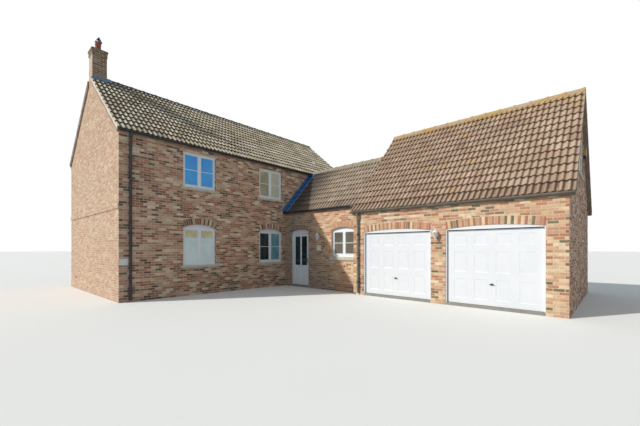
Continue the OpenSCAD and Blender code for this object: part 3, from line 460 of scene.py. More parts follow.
for look, nodes in (
        (MORTAR, "house_gables house_wall_east house_wall_west chimney_stack link_wall_left"
                 " link_wall_right link_wall_over link_wall_rear garage_piers garage_wall_over"
                 " garage_wall_rear garage_gable_left garage_gable_right brick_arches"),
        (UNDERCLOAK, "house_roof link_roof garage_roof"), (RIDGE, "ridge_tiles"),
        (LEAD, "lead_flashing"), (RAINWATER, "gutters downpipes"), (STONE, "window_sills"),
        (WHITE, "window_frames window_sashes front_door_frame front_door_leaf"),
        (WINDOW_GLASS, "window_glass"), (DOOR_GLASS, "front_door_glass"), (BRASS, "front_door_handle"),
        (GARAGE_WHITE, "garage_door_frames garage_leaf_left garage_leaf_right"),
        (STEEL, "garage_arms_left garage_arms_right"), (DARK, "garage_handle_left garage_handle_right"),
        (LANTERN, "wall_lanterns"), (WHITE_PLATE, "wall_plates"), (ALARM, "alarm_box"),
        (TERRACOTTA, "chimney_pot"), (COWL, "chimney_cowl"), (CONCRETE, "ground_floors"),
        (TIMBER, "upper_floors")):
    for node in nodes.split():
        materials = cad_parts[node].data.materials
        materials.clear()
        materials.append(look)


# Meshes

def place(name, data):
    """A new object in the scene."""
    thing = bpy.data.objects.new(name, data)
    bpy.context.scene.collection.objects.link(thing)
    return thing


def share(value):
    return min(max(value, 0), 1)


class Pile:
    """Collects faces with a few numbers per point, and becomes one mesh object."""

    def __init__(self, *numbers):
        self.points, self.faces = [], []
        self.numbers = {n: [] for n in numbers}
        self.shared = {}

    def put(self, points, faces, **numbers):
        base = len(self.points)
        self.points += [tuple(p) for p in points]
        self.faces += [tuple(base + i for i in f) for f in faces]
        for key, values in self.numbers.items():
            given = numbers.get(key, self.shared.get(key, 0.0))
            values += list(given) if hasattr(given, "__len__") else [given] * len(points)

    def become(self, name, look, slot, body="building", smooth=False):
        mesh = bpy.data.meshes.new(name)
        mesh.from_pydata(self.points, [], self.faces)
        for key, values in self.numbers.items():
            mesh.attributes.new(key, "FLOAT", "POINT").data.foreach_set("value", values)
        mesh.materials.append(look)
        mesh.validate()
        mesh.polygons.foreach_set("use_smooth", [smooth] * len(mesh.polygons))
        piece = place(name, mesh)
        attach(piece, body)
        return piece


def loft(pile, rings, closed=False, back=True, **numbers):
    """Joins rings of points, each with as many points, by quads. closed joins the last to the first;
    otherwise the last gets a face, and with back the first too."""
    n, count = len(rings[0]), len(rings)
    faces = []
    for r in range(count if closed else count - 1):
        a, b = r * n, (r + 1) % count * n
        faces += [(a + i, a + (i + 1) % n, b + (i + 1) % n, b + i) for i in range(n)]
    if back and not closed:
        faces.append(tuple(reversed(range(n))))
    if not closed:
        faces.append(tuple(range((count - 1) * n, count * n)))
    pile.put([q for ring in rings for q in ring], faces, **numbers)


def clip(poly, a, b, c):
    """The part of a flat polygon of (u, v) points where a u + b v >= c."""
    kept = []
    for (u0, v0), (u1, v1) in zip(poly, poly[1:] + poly[:1]):
        d0, d1 = a * u0 + b * v0 - c, a * u1 + b * v1 - c
        if d0 >= 0:
            kept.append((u0, v0))
        if (d0 > 0 > d1) or (d0 < 0 < d1):
            t = d0 / (d0 - d1)
            kept.append((u0 + t * (u1 - u0), v0 + t * (v1 - v0)))
    return kept


def area(poly):
    return 0.5 * sum(u0 * v1 - u1 * v0 for (u0, v0), (u1, v1) in zip(poly, poly[1:] + poly[:1]))


def span(poly):
    """Lowest and highest u, then lowest and highest v."""
    us, vs = zip(*poly)
    return min(us), max(us), min(vs), max(vs)


def shrunk(poly, ku, kv):
    """An outline drawn in about the middle of its points."""
    mu, mv = (sum(values) / len(poly) for values in zip(*poly))
    return [(mu + (u - mu) * ku, mv + (v - mv) * kv) for u, v in poly]


def leave(parts, u0, u1, v0, head, joint=0.0):
    """What a gap leaves of some outlines. It runs from v0 up to the height head(u), and the
    outlines over it start a joint higher."""
    kept = []
    for part in parts:
        a0, a1, b0, b1 = span(part)
        if a1 <= u0 or a0 >= u1 or b1 <= v0 or b0 >= max(head(max(a0, u0)), head(min(a1, u1))):
            kept.append(part)
            continue
        kept += [clip(part, -1, 0, -u0), clip(part, 1, 0, u1)]
        inner = clip(clip(part, 1, 0, u0), -1, 0, -u1)
        if inner:
            a, b = span(inner)[:2]
            za, zb = head(a) + joint, head(b) + joint
            slope = (zb - za) / max(b - a, 1e-6)
            kept += [clip(inner, 0, -1, -v0), clip(inner, -slope, 1, za - slope * a)]
    return [p for p in kept if len(p) > 2]


# Brickwork: real bricks stand a little proud of the walls, whose own faces show as the joints

SLAB = 0.120                    # thickness of a roof slab
COURSE, JOINT = 0.075, 0.010
STRETCHER = 0.225
GRID = 0.065                    # height of the first bed joint
PROUD, ARRIS = 0.005, 0.0035    # how far the bricks stand out, and how wide their worn edges are
SOLDIER_H = 0.215
THINNEST = 0.02                 # bricks lower or shorter than this are left out
CRUMB, CRUMB_AREA = 0.014, 0.0009
REVEAL = 0.085                  # how far window frames and the front door stand back
RED_AND_CREAM = (0.10, 0.15, 0.22, 0.34, 0.03), (0.48, 0.62, 0.80, 0.95, 0.14)
FADED = (0.26, 0.32, 0.38), (0.44, 0.52, 0.62)
mason = random.Random(7)        # draws every brick's shade, wall by wall


class Hole:
    """An opening in a wall face in (u, v): a square or arched head with its ring of soldiers."""

    def __init__(self, u0, u1, v0, spring, rise=0.0, sill=0.0, ear=0.0, depth=REVEAL):
        self.u0, self.u1, self.v0, self.spring, self.rise = u0, u1, v0, spring, rise
        self.sill, self.ear, self.depth = sill, ear, depth
        half = (u1 - u0) / 2
        self.radius = (half * half + rise * rise) / (2 * rise) if rise else 0.0

    def top(self, u):
        """Height where common bricks start again over the opening."""
        if not self.rise:
            return self.spring
        x = u - (self.u0 + self.u1) / 2
        r = self.radius + SOLDIER_H
        return self.spring + self.rise - self.radius + math.sqrt(max(r * r - x * x, 0))

    def cut(self, poly):
        """What the opening, its soldiers and its sill leave of a brick's outline."""
        parts = [poly]
        if self.sill:
            parts = leave(parts, self.u0 - self.ear, self.u1 + self.ear, self.v0 - self.sill,
                          lambda u: self.v0)
        return leave(parts, self.u0, self.u1, self.v0, self.top, JOINT)


def on_face(origin, right, out):
    """Gives the points of an outline (u, v), along right and up, at a distance d outwards."""
    return lambda poly, d: [origin + right * u + Z * v + out * d for u, v in poly]


def lay(pile, poly, at, proud, tone):
    """One brick: the outline at the wall face, and an inset front that stands proud."""
    u0, u1, v0, v1 = span(poly)
    front = shrunk(poly, *(max(1 - 2 * ARRIS / size, 0.5) for size in (u1 - u0, v1 - v0)))
    loft(pile, [at(poly, -0.001), at(front, proud)], back=False, tone=tone)


def brick_face(pile, origin, right, width, outline=(), holes=(), odd=0, foot=0.0, top=10.0,
               grid=GRID, blocks=(), tones=(0.0, 1.0)):
    """Lays courses on a wall face: (u, v) run along right and up from origin, and outward is
    right x up. outline lists half planes (a, b, c) that the bricks keep within, blocks lists
    rectangles (u0, u1, v0, v1) that they leave free, and tones bounds the shades of brick."""
    at = on_face(origin, right, right.cross(Z))
    for k in range(math.floor((foot - grid) / COURSE), math.ceil((top - grid) / COURSE)):
        v0 = max(grid + k * COURSE + JOINT / 2, foot)
        v1 = min(grid + (k + 1) * COURSE - JOINT / 2, top)
        if v1 - v0 < THINNEST:
            continue
        start = -STRETCHER / 2 if (k + odd) % 2 else 0.0
        for i in range(math.ceil((width - start) / STRETCHER)):
            u0 = start + i * STRETCHER + (JOINT / 2 if start + i * STRETCHER > 0 else 0)
            u1 = start + (i + 1) * STRETCHER - JOINT / 2
            tone = mason.uniform(*tones)
            lift = PROUD + mason.uniform(-0.0015, 0.0015)
            u0, u1 = max(u0, 0.0), min(u1, width)
            if u1 - u0 < THINNEST:
                continue
            parts = [[(u0, v0), (u1, v0), (u1, v1), (u0, v1)]]
            for line in outline:
                parts = [p for p in (clip(p, *line) for p in parts) if len(p) > 2]
            for *block, block_top in blocks:
                parts = leave(parts, *block, lambda u: block_top)
            for hole in holes:
                parts = [q for p in parts for q in hole.cut(p)]
            for part in parts:
                a0, a1, b0, b1 = span(part)
                if area(part) >= CRUMB_AREA and a1 - a0 > CRUMB and b1 - b0 > CRUMB:
                    lay(pile, part, at, lift, tone)


def soldier_ring(pile, origin, right, hole, shades):
    """Soldier bricks over an arch, each a wedge that runs round the soffit edge, in turns of two shades."""
    at = on_face(origin, right, right.cross(Z))
    mid = (hole.u0 + hole.u1) / 2
    centre = hole.spring + hole.rise - hole.radius
    half = (hole.u1 - hole.u0) / 2
    reach = math.asin(half / hole.radius)
    count = round(2 * reach * hole.radius / COURSE)
    r0, r1 = hole.radius - 0.003, hole.radius + SOLDIER_H - 0.004
    for i in range(count):
        a0 = -reach + 2 * reach * i / count + JOINT / 2 / hole.radius
        a1 = -reach + 2 * reach * (i + 1) / count - JOINT / 2 / hole.radius
        ring = [(a0, r0), (a1, r0), (a1, r1), (a0, r1)]
        flat = [(mid + r * math.sin(a), centre + r * math.cos(a)) for a, r in ring]
        flat = clip(clip(flat, 1, 0, hole.u0), -1, 0, -hole.u1)
        if len(flat) < 3:
            continue
        tone = mason.choice(shades[i % 2]) + mason.uniform(-0.02, 0.03)
        front = shrunk(flat, 0.93, 0.975)
        loft(pile, [at(flat, -hole.depth), at(flat, PROUD - 0.002), at(front, PROUD + 0.001)],
             back=False, tone=share(tone))


def jamb(pile, origin, inward, side, height, depth):
    """The bricks that turn into an opening: inward is the way into the wall, side faces the gap."""
    at = on_face(origin, inward, side)
    for k in range(math.ceil(height / COURSE)):
        v0, v1 = k * COURSE + JOINT / 2, min((k + 1) * COURSE - JOINT / 2, height)
        if v1 - v0 >= THINNEST:
            lay(pile, [(0.0, v0), (depth, v0), (depth, v1), (0.0, v1)], at, 0.003, mason.random())


def holes_on(origin, right, width, doors=()):
    """The windows in a wall face, then its doors, which are given as (box of the arch, depth)."""
    across, along = ("x", "y") if right.y else ("y", "x")
    face = getattr(origin, across)

    def ends(box):
        return sorted(sum(right) * (getattr(p, along) - getattr(origin, along)) for p in box)

    def near(box):
        low, high = (getattr(p, across) for p in box)
        thin = high - low < 0.2 and min(abs(low - face), abs(high - face)) < 0.2
        return thin and ends(box)[0] > 0 and ends(box)[1] < width

    holes = []
    for low, high in filter(near, frames):
        a = getattr(low, along)
        sill = [s for s in filter(near, sills) if abs(s[1].z - low.z) < 0.02
                and getattr(s[0], along) < a < getattr(s[1], along)][0]
        over = [s for s in filter(near, arches) if abs(getattr(s[0], along) - a) < 0.01 and s[0].z > low.z]
        spring = over[0][0].z if over else high.z
        rise = over[0][1].z - over[0][0].z - SOLDIER_H if over else 0.0
        holes.append(Hole(*ends((low, high)), low.z - FOOT, spring - FOOT, rise, sill[1].z - sill[0].z,
                          a - getattr(sill[0], along)))
    for (low, high), depth in doors:
        holes.append(Hole(*ends((low, high)), -0.01, low.z - FOOT, high.z - low.z - SOLDIER_H, depth=depth))
    return holes


class Slope:
    """A roof slope: its slab's top plane with the origin at the ridge, right along it, down the fall;
    feet lists how far down each course of the solid's tiles ends, soffit is the eaves' underside."""

    def __init__(self, node, towards):
        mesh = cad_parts[node].data
        faces = [p for p in mesh.polygons if p.normal.z < -0.3 and p.normal.dot(towards) < -0.3]
        under = max(faces, key=lambda p: p.area)
        self.normal = -under.normal
        self.down = (Z.cross(self.normal)).cross(self.normal).normalized()
        self.down *= -1 if self.down.z > 0 else 1
        self.right = self.normal.cross(self.down)
        co = [v.co.copy() for v in mesh.vertices]
        ridge = (max(p.dot(towards) for p in co) + min(p.dot(towards) for p in co)) / 2
        co = [p for p in co if p.dot(towards) > ridge]
        outs = sorted({round(p.dot(towards), 4) for p in co})
        edge = [p for p in co if abs(p.dot(towards) - outs[-2]) < 1e-3]
        eaves = max(edge, key=lambda p: p.z)
        self.soffit = min(p.z for p in edge)
        rise = (eaves.dot(towards) - ridge) * self.normal.dot(towards) / self.normal.z
        self.length = math.hypot(rise, eaves.dot(towards) - ridge)
        us = [p.dot(self.right) for p in co]
        top = eaves - self.down * self.length
        self.origin = top + self.right * (min(us) - top.dot(self.right))
        self.width = max(us) - min(us)
        heights = [((p - top).dot(self.normal), (p - top).dot(self.down)) for p in co]
        self.tail = max(h for h, v in heights)
        self.head = min(h for h, v in heights if h > 0.002)
        self.feet = sorted({round(v, 4) for h, v in heights if abs(h - self.tail) < 1e-3})
        self.gauge = self.feet[1] - self.feet[0]

    def at(self, u, v, h):
        return self.origin + self.right * u + self.down * v + self.normal * h

    def step(self, v):
        """Height of the solid's stepped tile surface at a distance down the slope."""
        part = (v / self.gauge) % 1.0 if v < self.length else 1.0
        return self.head + (self.tail - self.head) * part


def extent(node, z):
    """Lowest and highest x and y of a node's points at height z."""
    xs, ys, _ = zip(*(p for p in points_of(node) if abs(p.z - z) < 0.001))
    return min(xs), min(ys), max(xs), max(ys)


slopes = {
    "house_east": Slope("house_roof", X), "house_west": Slope("house_roof", -X),
    "link_front": Slope("link_roof", -Y), "link_rear": Slope("link_roof", Y),
    "garage_front": Slope("garage_roof", -Y), "garage_rear": Slope("garage_roof", Y),
}
stack_levels = levels(points_of("chimney_stack"))
shaft = extent("chimney_stack", stack_levels[0])
ridge_mid = (shaft[0] + shaft[2]) / 2


def stack_side(slope):
    """How far down a house slope the chimney stack's side lies."""
    return (shaft[2] - shaft[0]) / 2 / abs(slope.down.x)


# Pantiles: two rolls to a tile, each course lapped over the one below

TILE_W, TILE_T = 0.300, 0.013
ROLL_H, TROUGH = 0.025, 0.008
TILE_STEPS = 16
EAVES_REACH, LAP = 0.065, 0.004
SEAT = 0.003                    # how far the tiles lie over the solid's courses


def wave(t):
    """Height of a pantile across one roll and trough, t from 0 to 1."""
    roll = 0.44
    if t < roll:
        return TROUGH + ROLL_H * math.sin(math.pi * t / roll) ** 0.85
    return TROUGH * (1 - math.sin(math.pi * (t - roll) / (1 - roll)) ** 0.8)


def tiles(key, look, seed, slot, growth, nose_dirt, line_dirt, stack=False):
    """The tiles of a slope; with stack they stop short of the chimney that breaks the ridge. Each tile's lichen
    and moss, and on the link its painted shade, comes from a function of its place; the noses and the shaded
    side of each roll get painted shade, the troughs dirt and painted shade."""
    slope = slopes[key]
    draw = random.Random(seed)
    gap = sorted((y - slope.origin.y) * slope.right.y for y in (shaft[1] - 1, shaft[3])) if stack else (0, 0)
    gap_foot = stack_side(slope) + 0.004 if stack else 0.0
    pile = Pile("tone", "grime", "growth")
    columns = round(slope.width / TILE_W)
    width = slope.width / columns
    top = slope.tail + SEAT
    n = TILE_STEPS + 1
    for foot in slope.feet:
        head, last = foot - slope.gauge, foot == slope.feet[-1]
        wet = 0.22 if last and not stack else 0.0
        for c in range(columns):
            tone = share(draw.gauss(0.5, 0.17))
            lift, slip = draw.uniform(-0.001, 0.002), draw.uniform(0.0, 0.007)
            grow = share(growth((c + 0.5) * width, foot, draw))
            nose = foot + (EAVES_REACH if last else LAP) + slip
            # Painted shade under each nose and under the lap of the course above
            rows = [(nose + 0.002, top - TILE_T, nose_dirt), (nose, top - 0.003, nose_dirt * 0.7),
                    (nose - 0.010, top, 0.0)]
            rows += [(head + d, slope.step(head + d) + SEAT, dirt)
                     for d, dirt in ((0.075, 0.0), (0.028, nose_dirt * 0.75), (0.002, nose_dirt))]
            points, grime, cut = [], [], set()
            for v, h, dirt in rows:
                for s in range(n):
                    t = 2 * s / TILE_STEPS % 1.0
                    u = c * width + (width + 2 * LAP) * s / TILE_STEPS - LAP
                    w = wave(t)
                    if gap[0] <= u <= gap[1] and v < gap_foot:
                        cut.add(len(points))
                        points.append(slope.at(u, gap_foot, slope.step(gap_foot) + SEAT + w + lift))
                    else:
                        points.append(slope.at(u, max(v, 0.004), h + w + lift))
                    # Painted shade down in the troughs, partly dirt, and along the shaded side of each roll
                    low = 1 - min(w / (ROLL_H + TROUGH) * 1.8, 1)
                    off = abs(t - 0.5)
                    line = line_dirt if off < 0.02 else line_dirt * 0.45 if off < 0.14 else 0
                    grime.append(min(dirt + 0.25 * low + line + wet, 1))
            faces = [(r * n + s, r * n + s + 1, (r + 1) * n + s + 1, (r + 1) * n + s)
                     for r in range(len(rows) - 1) for s in range(TILE_STEPS)]
            faces = [f for f in faces if not cut.issuperset(f)]
            pile.put(points, faces, tone=tone, grime=grime, growth=grow)
    pile.become("tiles_" + key, look, slot, smooth=True)


def old_roof(u, v, draw):
    """A little moss close under the ridge of the tall house, and odd tiles with more."""
    return max(0.45 - 0.6 * v, 0) + 0.35 * (draw.random() < 0.04)


def lichen_roof(u, v, draw):
    """Yellow lichen under the garage ridge, then odd spots."""
    return max(0.95 - v, 0) + 0.55 * (draw.random() < (0.05 if v < 1.8 else 0.012))


def link_front_roof(u, v, draw):
    """Painted shade, dark beside the tall house where u is near 0, with odd spots of lichen further on."""
    return 1.5 - 0.75 * u if u < 1.7 else 0.25 * (draw.random() < 0.03)


def link_rear_roof(u, v, draw):
    return link_front_roof(slopes["link_rear"].width - u, v, draw)


tiles("house_east", HOUSE_TILE, 40, "roof_tile", old_roof, 1.0, 0.90, stack=True)
tiles("house_west", HOUSE_TILE, 41, "roof_tile", old_roof, 1.0, 0.90, stack=True)
tiles("link_front", LINK_TILE, 42, "pantile", link_front_roof, 0.42, 0.62)
tiles("link_rear", LINK_TILE, 43, "pantile", link_rear_roof, 0.42, 0.62)
tiles("garage_front", PANTILE, 44, "pantile", lichen_roof, 0.60, 0.62)
tiles("garage_rear", PANTILE, 45, "pantile", lichen_roof, 0.60, 0.62)


# Bricks on each face, in the order in which the mason draws them

LINK_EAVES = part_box("link_roof")[0].z - FOOT


def corner(x, y):
    """A point at the foot of the walls."""
    return Vector((x, y, FOOT))


def under(key, origin, right, drop=0.0):
    """The half plane of a wall face under a roof slope, for a wall at origin along right."""
    n = slopes[key].normal
    return -n.dot(right), -n.z, -(n.dot(slopes[key].origin - origin) - SLAB - drop)


def dress(name, origin, right, width, outline=(), odd=1, doors=(), bleach=0.0, bloom=0.0, damp=None,
          shades=RED_AND_CREAM, **more):
    """One wall face with its soldiers and jambs; its painted sunlight lightens and yellows a sunlit face, its
    painted glare greys it all over, and its painted shade, a function of the distance along the wall and the
    height, darkens it."""
    pile = Pile("tone", "bleach", "bloom", "damp")
    pile.shared.update(bleach=bleach, bloom=bloom)
    holes = holes_on(origin, right, width, doors)
    brick_face(pile, origin, right, width, outline, holes, odd, **more)
    for hole in holes:
        if hole.rise:
            soldier_ring(pile, origin, right, hole, shades)
    for hole in holes:
        foot = max(hole.v0, 0.0)
        for u, side in ((hole.u0, right), (hole.u1, -right)):
            jamb(pile, origin + right * u + Z * foot, Z.cross(right), side, hole.spring - foot, hole.depth)
    if damp:
        places = [Vector(p) - origin for p in pile.points]
        pile.numbers["damp"] = [damp(p.dot(right), p.z) for p in places]
    pile.become("bricks_" + name, BRICK, "brick")


def eaves_wall(key, origin, right, width, **more):
    """A wall under the eaves of the slope of the same name."""
    dress(key, origin, right, width, [(0, -1, -(slopes[key].soffit - FOOT))], 0, **more)


def gable(name, roof, origin, right, width, **more):
    """A wall under both slopes of a roof."""
    dress(name, origin, right, width, [under(key, origin, right) for key in roof], **more)


def four_sides(x0, y0, x1, y1, z):
    """Origins, directions and widths of the faces round a rectangle, seen from outside."""
    return ((Vector((x0, y0, z)), X, x1 - x0), (Vector((x1, y0, z)), Y, y1 - y0),
            (Vector((x1, y1, z)), -X, x1 - x0), (Vector((x0, y1, z)), -Y, y1 - y0))


# The string course and the kneelers: levels read from the gable solid
gable_points = points_of("house_gables")
string_points = [p for p in gable_points if p.y < HOUSE_F - 0.01]
STRING_LOW, STRING_HIGH = (pick(p.z for p in string_points) - FOOT for pick in (min, max))
STRING_OUT = HOUSE_F - min(p.y for p in string_points)
knee = sorted({(round(p.x - HOUSE_E, 4), round(p.z, 4)) for p in gable_points if p.x > HOUSE_E + 0.002})
KNEE_FOOT = min(z for _, z in knee) - FOOT

house_length, house_width = HOUSE_B - HOUSE_F, HOUSE_E - HOUSE_W
knee_blocks = [(-1, WALL, KNEE_FOOT, 9), (house_length - WALL, house_length + 1, KNEE_FOOT, 9)]
eaves_wall("house_east", corner(HOUSE_E, HOUSE_F), Y, house_length,
           blocks=[(LINK_F - HOUSE_F, LINK_B - HOUSE_F, -1, LINK_EAVES)] + knee_blocks)
eaves_wall("house_west", corner(HOUSE_W, HOUSE_B), -Y, house_length, blocks=knee_blocks)
# The near gable and its string course take painted sunlight and a painted grey glare
for name, origin, right, sun in (("near", corner(HOUSE_W, HOUSE_F), X, {"bleach": 1.0, "bloom": 0.22}),
                                 ("far", corner(HOUSE_E, HOUSE_B), -X, {})):
    gable("house_gable_" + name, ("house_east", "house_west"), origin, right, house_width,
          blocks=[(-1, house_width + 1, STRING_LOW, STRING_HIGH)], tones=(0.26, 0.90), **sun)
    dress("string_" + name, origin + right.cross(Z) * STRING_OUT, right, house_width,
          foot=STRING_LOW, top=STRING_HIGH, grid=STRING_LOW, tones=(0.26, 0.90), **sun)
knees = Pile("tone")
for out in sorted({o for o, z in knee}):
    low, high = (pick(z for o, z in knee if o == out) - FOOT for pick in (min, max))
    for x, outward in ((HOUSE_E + out, 1), (HOUSE_W - out, -1)):
        for y in (HOUSE_F, HOUSE_B - WALL):
            start = corner(x, y if outward > 0 else y + WALL)
            brick_face(knees, start, Y * outward, WALL, foot=low, top=high, grid=low)
        for y, right in ((HOUSE_F, X), (HOUSE_B, -X)):
            nearest = min if right.x > 0 else max
            start = corner(nearest(x, x - out * outward), y)
            brick_face(knees, start, right, out, foot=low, top=high, grid=low)
knees.become("bricks_kneelers", BRICK, "brick")


def lee(u, z):
    """Painted shade in the corner beside the tall house, fading along the wall and upwards."""
    return share(3.2 - u - 0.45 * z)


plates = [(low.x - HOUSE_E, high.x - HOUSE_E, low.z - FOOT, high.z - FOOT)
          for low, high in islands("wall_plates") if abs(high.y - LINK_F) < 0.01]
front_door = [(arch, REVEAL) for arch in arches
              if abs(arch[0].y - LINK_F) < 0.01 and arch[1].x < (HOUSE_E + LINK_E) / 2]
bay_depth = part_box("garage_door_frames")[0].y - GARAGE_F - 0.003
garage_bays = [(arch, bay_depth) for arch in arches if abs(arch[0].y - GARAGE_F) < 0.01]
link_length, garage_length, garage_width = LINK_E - HOUSE_E, GARAGE_E - LINK_E, GARAGE_B - GARAGE_F
garage_roof = "garage_front", "garage_rear"
# The sunlit fronts of the link and the garage take painted sunlight, and the link's front painted shade beside
# the tall house
eaves_wall("link_front", corner(HOUSE_E, LINK_F), X, link_length, doors=front_door, blocks=plates,
           bleach=1.0, damp=lee, shades=FADED, tones=(0.10, 0.95))
eaves_wall("link_rear", corner(LINK_E, LINK_B), -X, link_length)
eaves_wall("garage_front", corner(LINK_E, GARAGE_F), X, garage_length, doors=garage_bays, bleach=1.0)
eaves_wall("garage_rear", corner(GARAGE_E, GARAGE_B), -X, garage_length)
gable("garage_gable_right", garage_roof, corner(GARAGE_E, GARAGE_F), Y, garage_width)
gable("garage_gable_left", garage_roof, corner(LINK_E, GARAGE_B), -Y, garage_width,
      blocks=[(GARAGE_B - LINK_B, GARAGE_B - LINK_F, -1, LINK_EAVES)])

# Chimney stack: the shaft, whose sides start a little under the slab's top, then each step of the cap
chimney = Pile("tone", "soot")
for i, (start, right, width) in enumerate(four_sides(*shaft, FOOT)):
    # Painted light: the side faces get more soot, partly painted shade, and the front and back pale bricks,
    # painted sunlight
    chimney.shared["soot"] = 0.5 if right.y else 0.12
    key = "house_east" if right.y > 0 else "house_west"
    lines = [tuple(-v for v in under(key, start, right, 0.02 - SLAB))] if right.y else []
    foot = 0.0 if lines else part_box("house_roof")[1].z - FOOT - 0.3
    brick_face(chimney, start, right, width, lines, odd=i % 2, foot=foot, top=stack_levels[1] - FOOT,
               tones=(0.1, 1.0) if right.y else (0.75, 1.0))
chimney.shared["soot"] = 0.95
for low, high in zip(stack_levels[1:], stack_levels[2:]):
    for i, (start, right, width) in enumerate(four_sides(*extent("chimney_stack", low), FOOT)):
        brick_face(chimney, start, right, width, odd=i % 2,
                   foot=low - FOOT, top=high - FOOT, grid=low - FOOT)
chimney.become("bricks_chimney", BRICK, "brick")


# Small parts: all are lofted rings of points

def bar(pile, a, b, side, up, wide, deep, chamfer=0.003):
    """A chamfered bar from a to b, wide along side and deep along up."""
    w, d, c = wide / 2, deep / 2, chamfer
    shape = [(-w + c, -d), (w - c, -d), (w, -d + c), (w, d - c),
             (w - c, d), (-w + c, d), (-w, d - c), (-w, -d + c)]
    loft(pile, [[end + side * s + up * t for s, t in shape] for end in (a, b)])


def turned(pile, centre, axis, profile, sides=24):
    """A turned part: profile lists (radius, height) along axis."""
    first = axis.cross(X).normalized()
    second = axis.cross(first)
    turns = [2 * math.pi * i / sides for i in range(sides)]
    loft(pile, [[centre + axis * h + (first * math.cos(a) + second * math.sin(a)) * r for a in turns]
                for r, h in profile])


def framed(pile, low, high, right, out, shape):
    """A mitred frame round a rectangle: shape lists (inset, out) points of its section."""
    u1, v1 = (high - low).dot(right), (high - low).z
    rings = []
    for su, sv in ((1, 1), (-1, 1), (-1, -1), (1, -1)):
        u, v = (0.0 if su > 0 else u1), (0.0 if sv > 0 else v1)
        rings.append([low + right * (u + su * i) + Z * (v + sv * i) + out * o for i, o in shape])
    loft(pile, rings, closed=True)


# Window glazing bars and beads, in front of and behind each pane

SASH_RAIL = 0.035
BAR_W, BAR_D = 0.022, 0.010
BEAD = 0.012
bars, beads = Pile(), Pile()
panes, sashes = islands("window_glass"), islands("window_sashes")
first_y = min(low.y for low, high in sashes if HOUSE_E - 0.3 < high.x < HOUSE_E)
for low, high in sashes:
    size, centre = high - low, (low + high) / 2
    across, along, inward, right = ("x", "y", X, Y) if size.x < size.y else ("y", "x", Y, X)
    pane = [(p, q) for p, q in panes if getattr(p, along) < getattr(centre, along) < getattr(q, along)
            and p.z < centre.z < q.z and getattr(low, across) < getattr(p, across) < getattr(high, across)][0]
    rail = (right + Z) * SASH_RAIL
    # In the courtyard's nearest lower window the bar sits higher
    nearest = (first_y - 0.01 < low.y < first_y + 0.8 and low.z < 2 and across == "x"
               and low.x > HOUSE_W + 1)
    for face, sign in zip(pane, (-1, 1)):
        start, end, out = low + rail, high - rail, inward * sign
        for point in (start, end):
            setattr(point, across, getattr(face, across))
        framed(beads, start, end, right, out, [(0.0, 0.0), (BEAD, 0.0), (0.004, BEAD), (0.0, BEAD)])
        start.z = end.z = start.z + (end.z - start.z) * (0.70 if nearest else 0.5)
        bar(bars, start + out * BAR_D / 2, end + out * BAR_D / 2, out, Z, BAR_D, BAR_W)
bars.become("glazing_bars", WHITE, "white_frame")
beads.become("glazing_beads", WHITE, "white_frame")


# Garage doors: edges of the pressed panels

PRESSED = [(0.000, -0.002), (0.004, 0.0008), (0.008, 0.0008), (0.025, -0.006), (0.025, -0.008), (0, -0.008)]
for side in ("left", "right"):
    leaf = points_of("garage_leaf_" + side)
    front = min(p.y for p in leaf)
    xs = levels(leaf, 0)[2:-2]
    zs = levels([p for p in leaf if round(p.y - front, 3) in (0, 0.007)])[1:-1]
    edges = Pile()
    for x0, x1 in zip(xs[0::4], xs[3::4]):
        for z0, z1 in zip(zs[0::4], zs[3::4]):
            framed(edges, Vector((x0, front, z0)), Vector((x1, front, z1)), X, -Y, PRESSED)
    edges.become("panel_edges_" + side, PANEL_EDGE, "garage_white", side + "_leaf")


# Front door mouldings round the lights and the lower panels

OGEE = [(0.0, -0.001), (0.003, 0.006), (0.010, 0.008), (0.016, 0.004), (0.022, -0.001)]
OGEE_W = 0.022
door = points_of("front_door_leaf")
door_front = min(p.y for p in door)
door_zs = levels(door)
mouldings = Pile()
for low, high in islands("front_door_glass"):
    for z0, z1 in ((low.z, high.z), (door_zs[1], door_zs[4])):
        framed(mouldings, Vector((low.x - OGEE_W, door_front, z0 - OGEE_W)),
               Vector((high.x + OGEE_W, door_front, z1 + OGEE_W)), X, -Y, OGEE)
mouldings.become("front_door_mouldings", WHITE, "white_frame", "front_door")


# Lead over the roof tiles beside the house wall, and round the chimney

LEAD_UP, LEAD_OVER, LEAD_T, LEAD_LENGTH = 0.150, 0.250, 0.0025, 1.2
LEAD_FACE = 0.0105              # how far the lead stands off a wall
LEAD_TOP = 0.25
STACK_UP, STACK_OVER = 0.065, 0.130


def tile_crown(slope, v):
    """Height of the tiles' rolls over the slab at a distance v down a slope."""
    return slope.step(v) + SEAT + TROUGH + ROLL_H + 0.003


lead = Pile()
for key, wall_u, sign in (("link_front", 0.0, 1), ("link_rear", slopes["link_rear"].width, -1)):
    slope = slopes[key]
    run = slope.length + 0.03 - LEAD_TOP
    count = math.ceil(run / LEAD_LENGTH)
    for i in range(count):
        v0, v1 = LEAD_TOP + i * (run / count) - 0.05, LEAD_TOP + (i + 1) * (run / count)
        rings = []
        for j in range(13):
            v = v0 + (v1 - v0) * j / 12
            h = tile_crown(slope, v) + 0.002 * (j / 12)
            outer = [(LEAD_FACE, LEAD_UP), (LEAD_FACE, h + 0.012), (0.018, h + 0.002),
                     (LEAD_OVER - 0.02, h), (LEAD_OVER, h - 0.022)]
            inner = [(e - 0.6 * LEAD_T, g - LEAD_T) for e, g in reversed(outer[1:])]
            inner.append((LEAD_FACE - LEAD_T, LEAD_UP))
            rings.append([slope.at(wall_u + sign * e, v, g) for e, g in outer + inner])
        loft(lead, rings)

